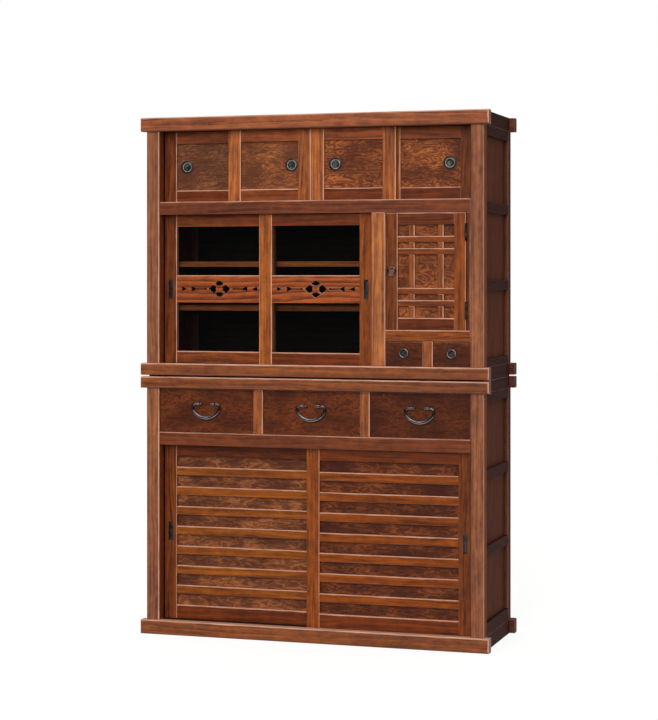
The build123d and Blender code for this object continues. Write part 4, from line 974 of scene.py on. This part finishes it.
class CABINET_OT_drawers(bpy.types.Operator):
    """Build the two small and the three large drawers"""
    bl_idname = "cabinet.drawers"
    bl_label = "Drawers"

    def execute(self, context):
        front, dark = [
            figured_zelkova(f"zelkova_mottled_{name}_front", colour, along_mm=26, across_mm=12,
                            bands=3, flames=0.5, patches=0.25)
            for name, colour in (("drawer", colours().drawer),
                                 ("dark_drawer", colours().drawer_dark))]
        for node in ("small_drawer_1", "small_drawer_2", "large_drawer_1", "large_drawer_2",
                     "large_drawer_3"):
            wood = dark if node in ("small_drawer_1", "large_drawer_3") else front
            woodwork(f"{node}_front", node, wood, highlit_edge_wood(), sizes().board_ease, picks=[0])
            woodwork(f"{node}_box", node, drawer_box_wood(), drawer_box_wood(),
                     sizes().board_ease, picks=range(1, 5))
        return {"FINISHED"}


class CABINET_OT_bails(bpy.types.Operator):
    """Finish the iron bails of the large drawers"""
    bl_idname = "cabinet.bails"
    bl_label = "Bails"

    def execute(self, context):
        for k in range(1, 4):
            dress(f"large_drawer_{k}_bail", bail_iron())
            dress(f"large_drawer_{k}_mounts", bail_iron())
        return {"FINISHED"}


class CABINET_OT_studio(bpy.types.Operator):
    """Set up the pale floor, the soft light and the camera"""
    bl_idname = "cabinet.studio"
    bl_label = "Studio"

    def execute(self, context):
        scene = context.scene
        scene.view_settings.view_transform = "Standard"
        self.lay_floor(scene)
        self.light(scene)
        self.place_camera(scene)
        return {"FINISHED"}

    def seen_rays(self, tree):
        """1 for camera, glossy and transmission rays, which see the white backdrop, and
        the node that tells the rays apart."""
        path = add(tree, "LightPath")
        either = add(tree, "Math", {0: path.outputs["Is Camera Ray"],
                                    1: path.outputs["Is Glossy Ray"]}, operation="MAXIMUM")
        return add(tree, "Math", {0: either.outputs[0],
                                  1: path.outputs["Is Transmission Ray"]},
                   operation="MAXIMUM").outputs[0], path

    def lay_floor(self, scene):
        """Matt paper floor: pale, keeps the shadow, and is white where nothing shades it."""
        material, tree = new_material("paper_matt_floor")
        matt = add(tree, "BsdfDiffuse", {"Color": tuple(colours().floor)})
        glow = add(tree, "Emission", {"Color": linear("#ffffff"), "Strength": FLOOR_GLOW})
        both = add(tree, "AddShader", {0: matt.outputs[0], 1: glow.outputs[0]})
        seen, _ = self.seen_rays(tree)
        paper = add(tree, "MixShader", {0: seen, 1: matt.outputs[0], 2: both.outputs[0]})
        add(tree, "OutputMaterial", {"Surface": paper.outputs[0]})
        half = sizes().floor_size / 2
        mesh = bpy.data.meshes.new("studio_floor")
        mesh.from_pydata([(-half, -half, 0), (half, -half, 0), (half, half, 0),
                          (-half, half, 0)], [], [(0, 1, 2, 3)])
        mesh.materials.append(material)
        floor = bpy.data.objects.new("studio_floor", mesh)
        scene.collection.objects.link(floor)

    def light(self, scene):
        """One broad lamp above the camera, and a dim even fill from the room."""
        lamp = bpy.data.lights.new("key_softbox", "SUN")
        lamp.energy = KEY_STRENGTH
        lamp.angle = KEY_SPREAD
        key = bpy.data.objects.new("key_softbox", lamp)
        key.rotation_euler = Vector(KEY_DIRECTION).to_track_quat("Z", "Y").to_euler()
        scene.collection.objects.link(key)
        world = bpy.data.worlds.new("studio_room")
        scene.world = world
        world.use_nodes = True
        tree = world.node_tree
        tree.nodes.clear()
        fill = add(tree, "Background", {"Color": linear("#ffffff"), "Strength": FILL_STRENGTH})
        way = add(tree, "SeparateXYZ", {0: add(tree, "TexCoord").outputs["Generated"]})
        # Pale behind, white overhead, a dim room in front
        behind = add(tree, "MapRange", {
            "Value": way.outputs["Y"], "From Min": -0.25, "From Max": 0.15,
            "To Min": ROOM_IN_FRONT, "To Max": ROOM_BEHIND})
        above = add(tree, "MapRange", {"Value": way.outputs["Z"], "From Min": 0.55,
                                       "From Max": 0.85, "To Min": 0.0, "To Max": 1.0})
        room = add(tree, "Math", {0: behind.outputs[0], 1: above.outputs[0]},
                   operation="MAXIMUM").outputs[0]
        seen, path = self.seen_rays(tree)
        white = add(tree, "Math", {0: room, 1: path.outputs["Is Camera Ray"]},
                    operation="MAXIMUM").outputs[0]
        backdrop = add(tree, "Background", {"Color": linear("#ffffff"), "Strength": white})
        mixed = add(tree, "MixShader", {0: seen, 1: fill.outputs[0], 2: backdrop.outputs[0]})
        add(tree, "OutputWorld", {"Surface": mixed.outputs[0]})

    def place_camera(self, scene):
        """Level camera at chest height, to the right of the cabinet."""
        lens = bpy.data.cameras.new("camera")
        lens.sensor_width = SENSOR_WIDTH
        lens.lens = FOCAL_LENGTH / FRAME_HEIGHT * SENSOR_WIDTH
        lens.shift_x = (FRAME_WIDTH / 2 - AXIS_ACROSS) / FRAME_HEIGHT
        lens.shift_y = (AXIS_DOWN - FRAME_HEIGHT / 2) / FRAME_HEIGHT
        lens.clip_end = 200.0
        camera = bpy.data.objects.new("camera", lens)
        camera.location = CAMERA_PLACE
        camera.rotation_euler = (math.pi / 2, 0.0, CAMERA_TURN)
        scene.collection.objects.link(camera)
        scene.camera = camera


OPERATORS = (CABINET_OT_long_rails, CABINET_OT_posts, CABINET_OT_sides, CABINET_OT_front_frame,
             CABINET_OT_inside, CABINET_OT_small_doors, CABINET_OT_round_pulls,
             CABINET_OT_glass_doors, CABINET_OT_slatted_doors, CABINET_OT_lattice_door,
             CABINET_OT_small_fittings, CABINET_OT_drawers, CABINET_OT_bails, CABINET_OT_studio)


class CABINET_PT_sidebar(bpy.types.Panel):
    """Lists the operators, sizes and colours"""
    bl_idname = "CABINET_PT_sidebar"
    bl_label = "Mizuya cabinet"
    bl_space_type = "VIEW_3D"
    bl_region_type = "UI"
    bl_category = "Mizuya"

    def draw(self, context):
        for operator in OPERATORS:
            self.layout.operator(operator.bl_idname)
        for group in (context.scene.cabinet_sizes, context.scene.cabinet_colours):
            box = self.layout.box()
            for name in group.bl_rna.properties.keys():
                if name not in ("rna_type", "name"):
                    box.prop(group, name)


CLASSES = (CabinetSizes, CabinetColours) + OPERATORS + (CABINET_PT_sidebar,)


def register():
    for cls in CLASSES:
        bpy.utils.register_class(cls)
    bpy.types.Scene.cabinet_sizes = bpy.props.PointerProperty(type=CabinetSizes)
    bpy.types.Scene.cabinet_colours = bpy.props.PointerProperty(type=CabinetColours)


def unregister():
    del bpy.types.Scene.cabinet_colours
    del bpy.types.Scene.cabinet_sizes
    for cls in reversed(CLASSES):
        bpy.utils.unregister_class(cls)


def main():
    register()
    for operator in OPERATORS:
        group, name = operator.bl_idname.split(".")
        getattr(getattr(bpy.ops, group), name)()
    bpy.context.view_layer.update()


if __name__ == "__main__":
    main()
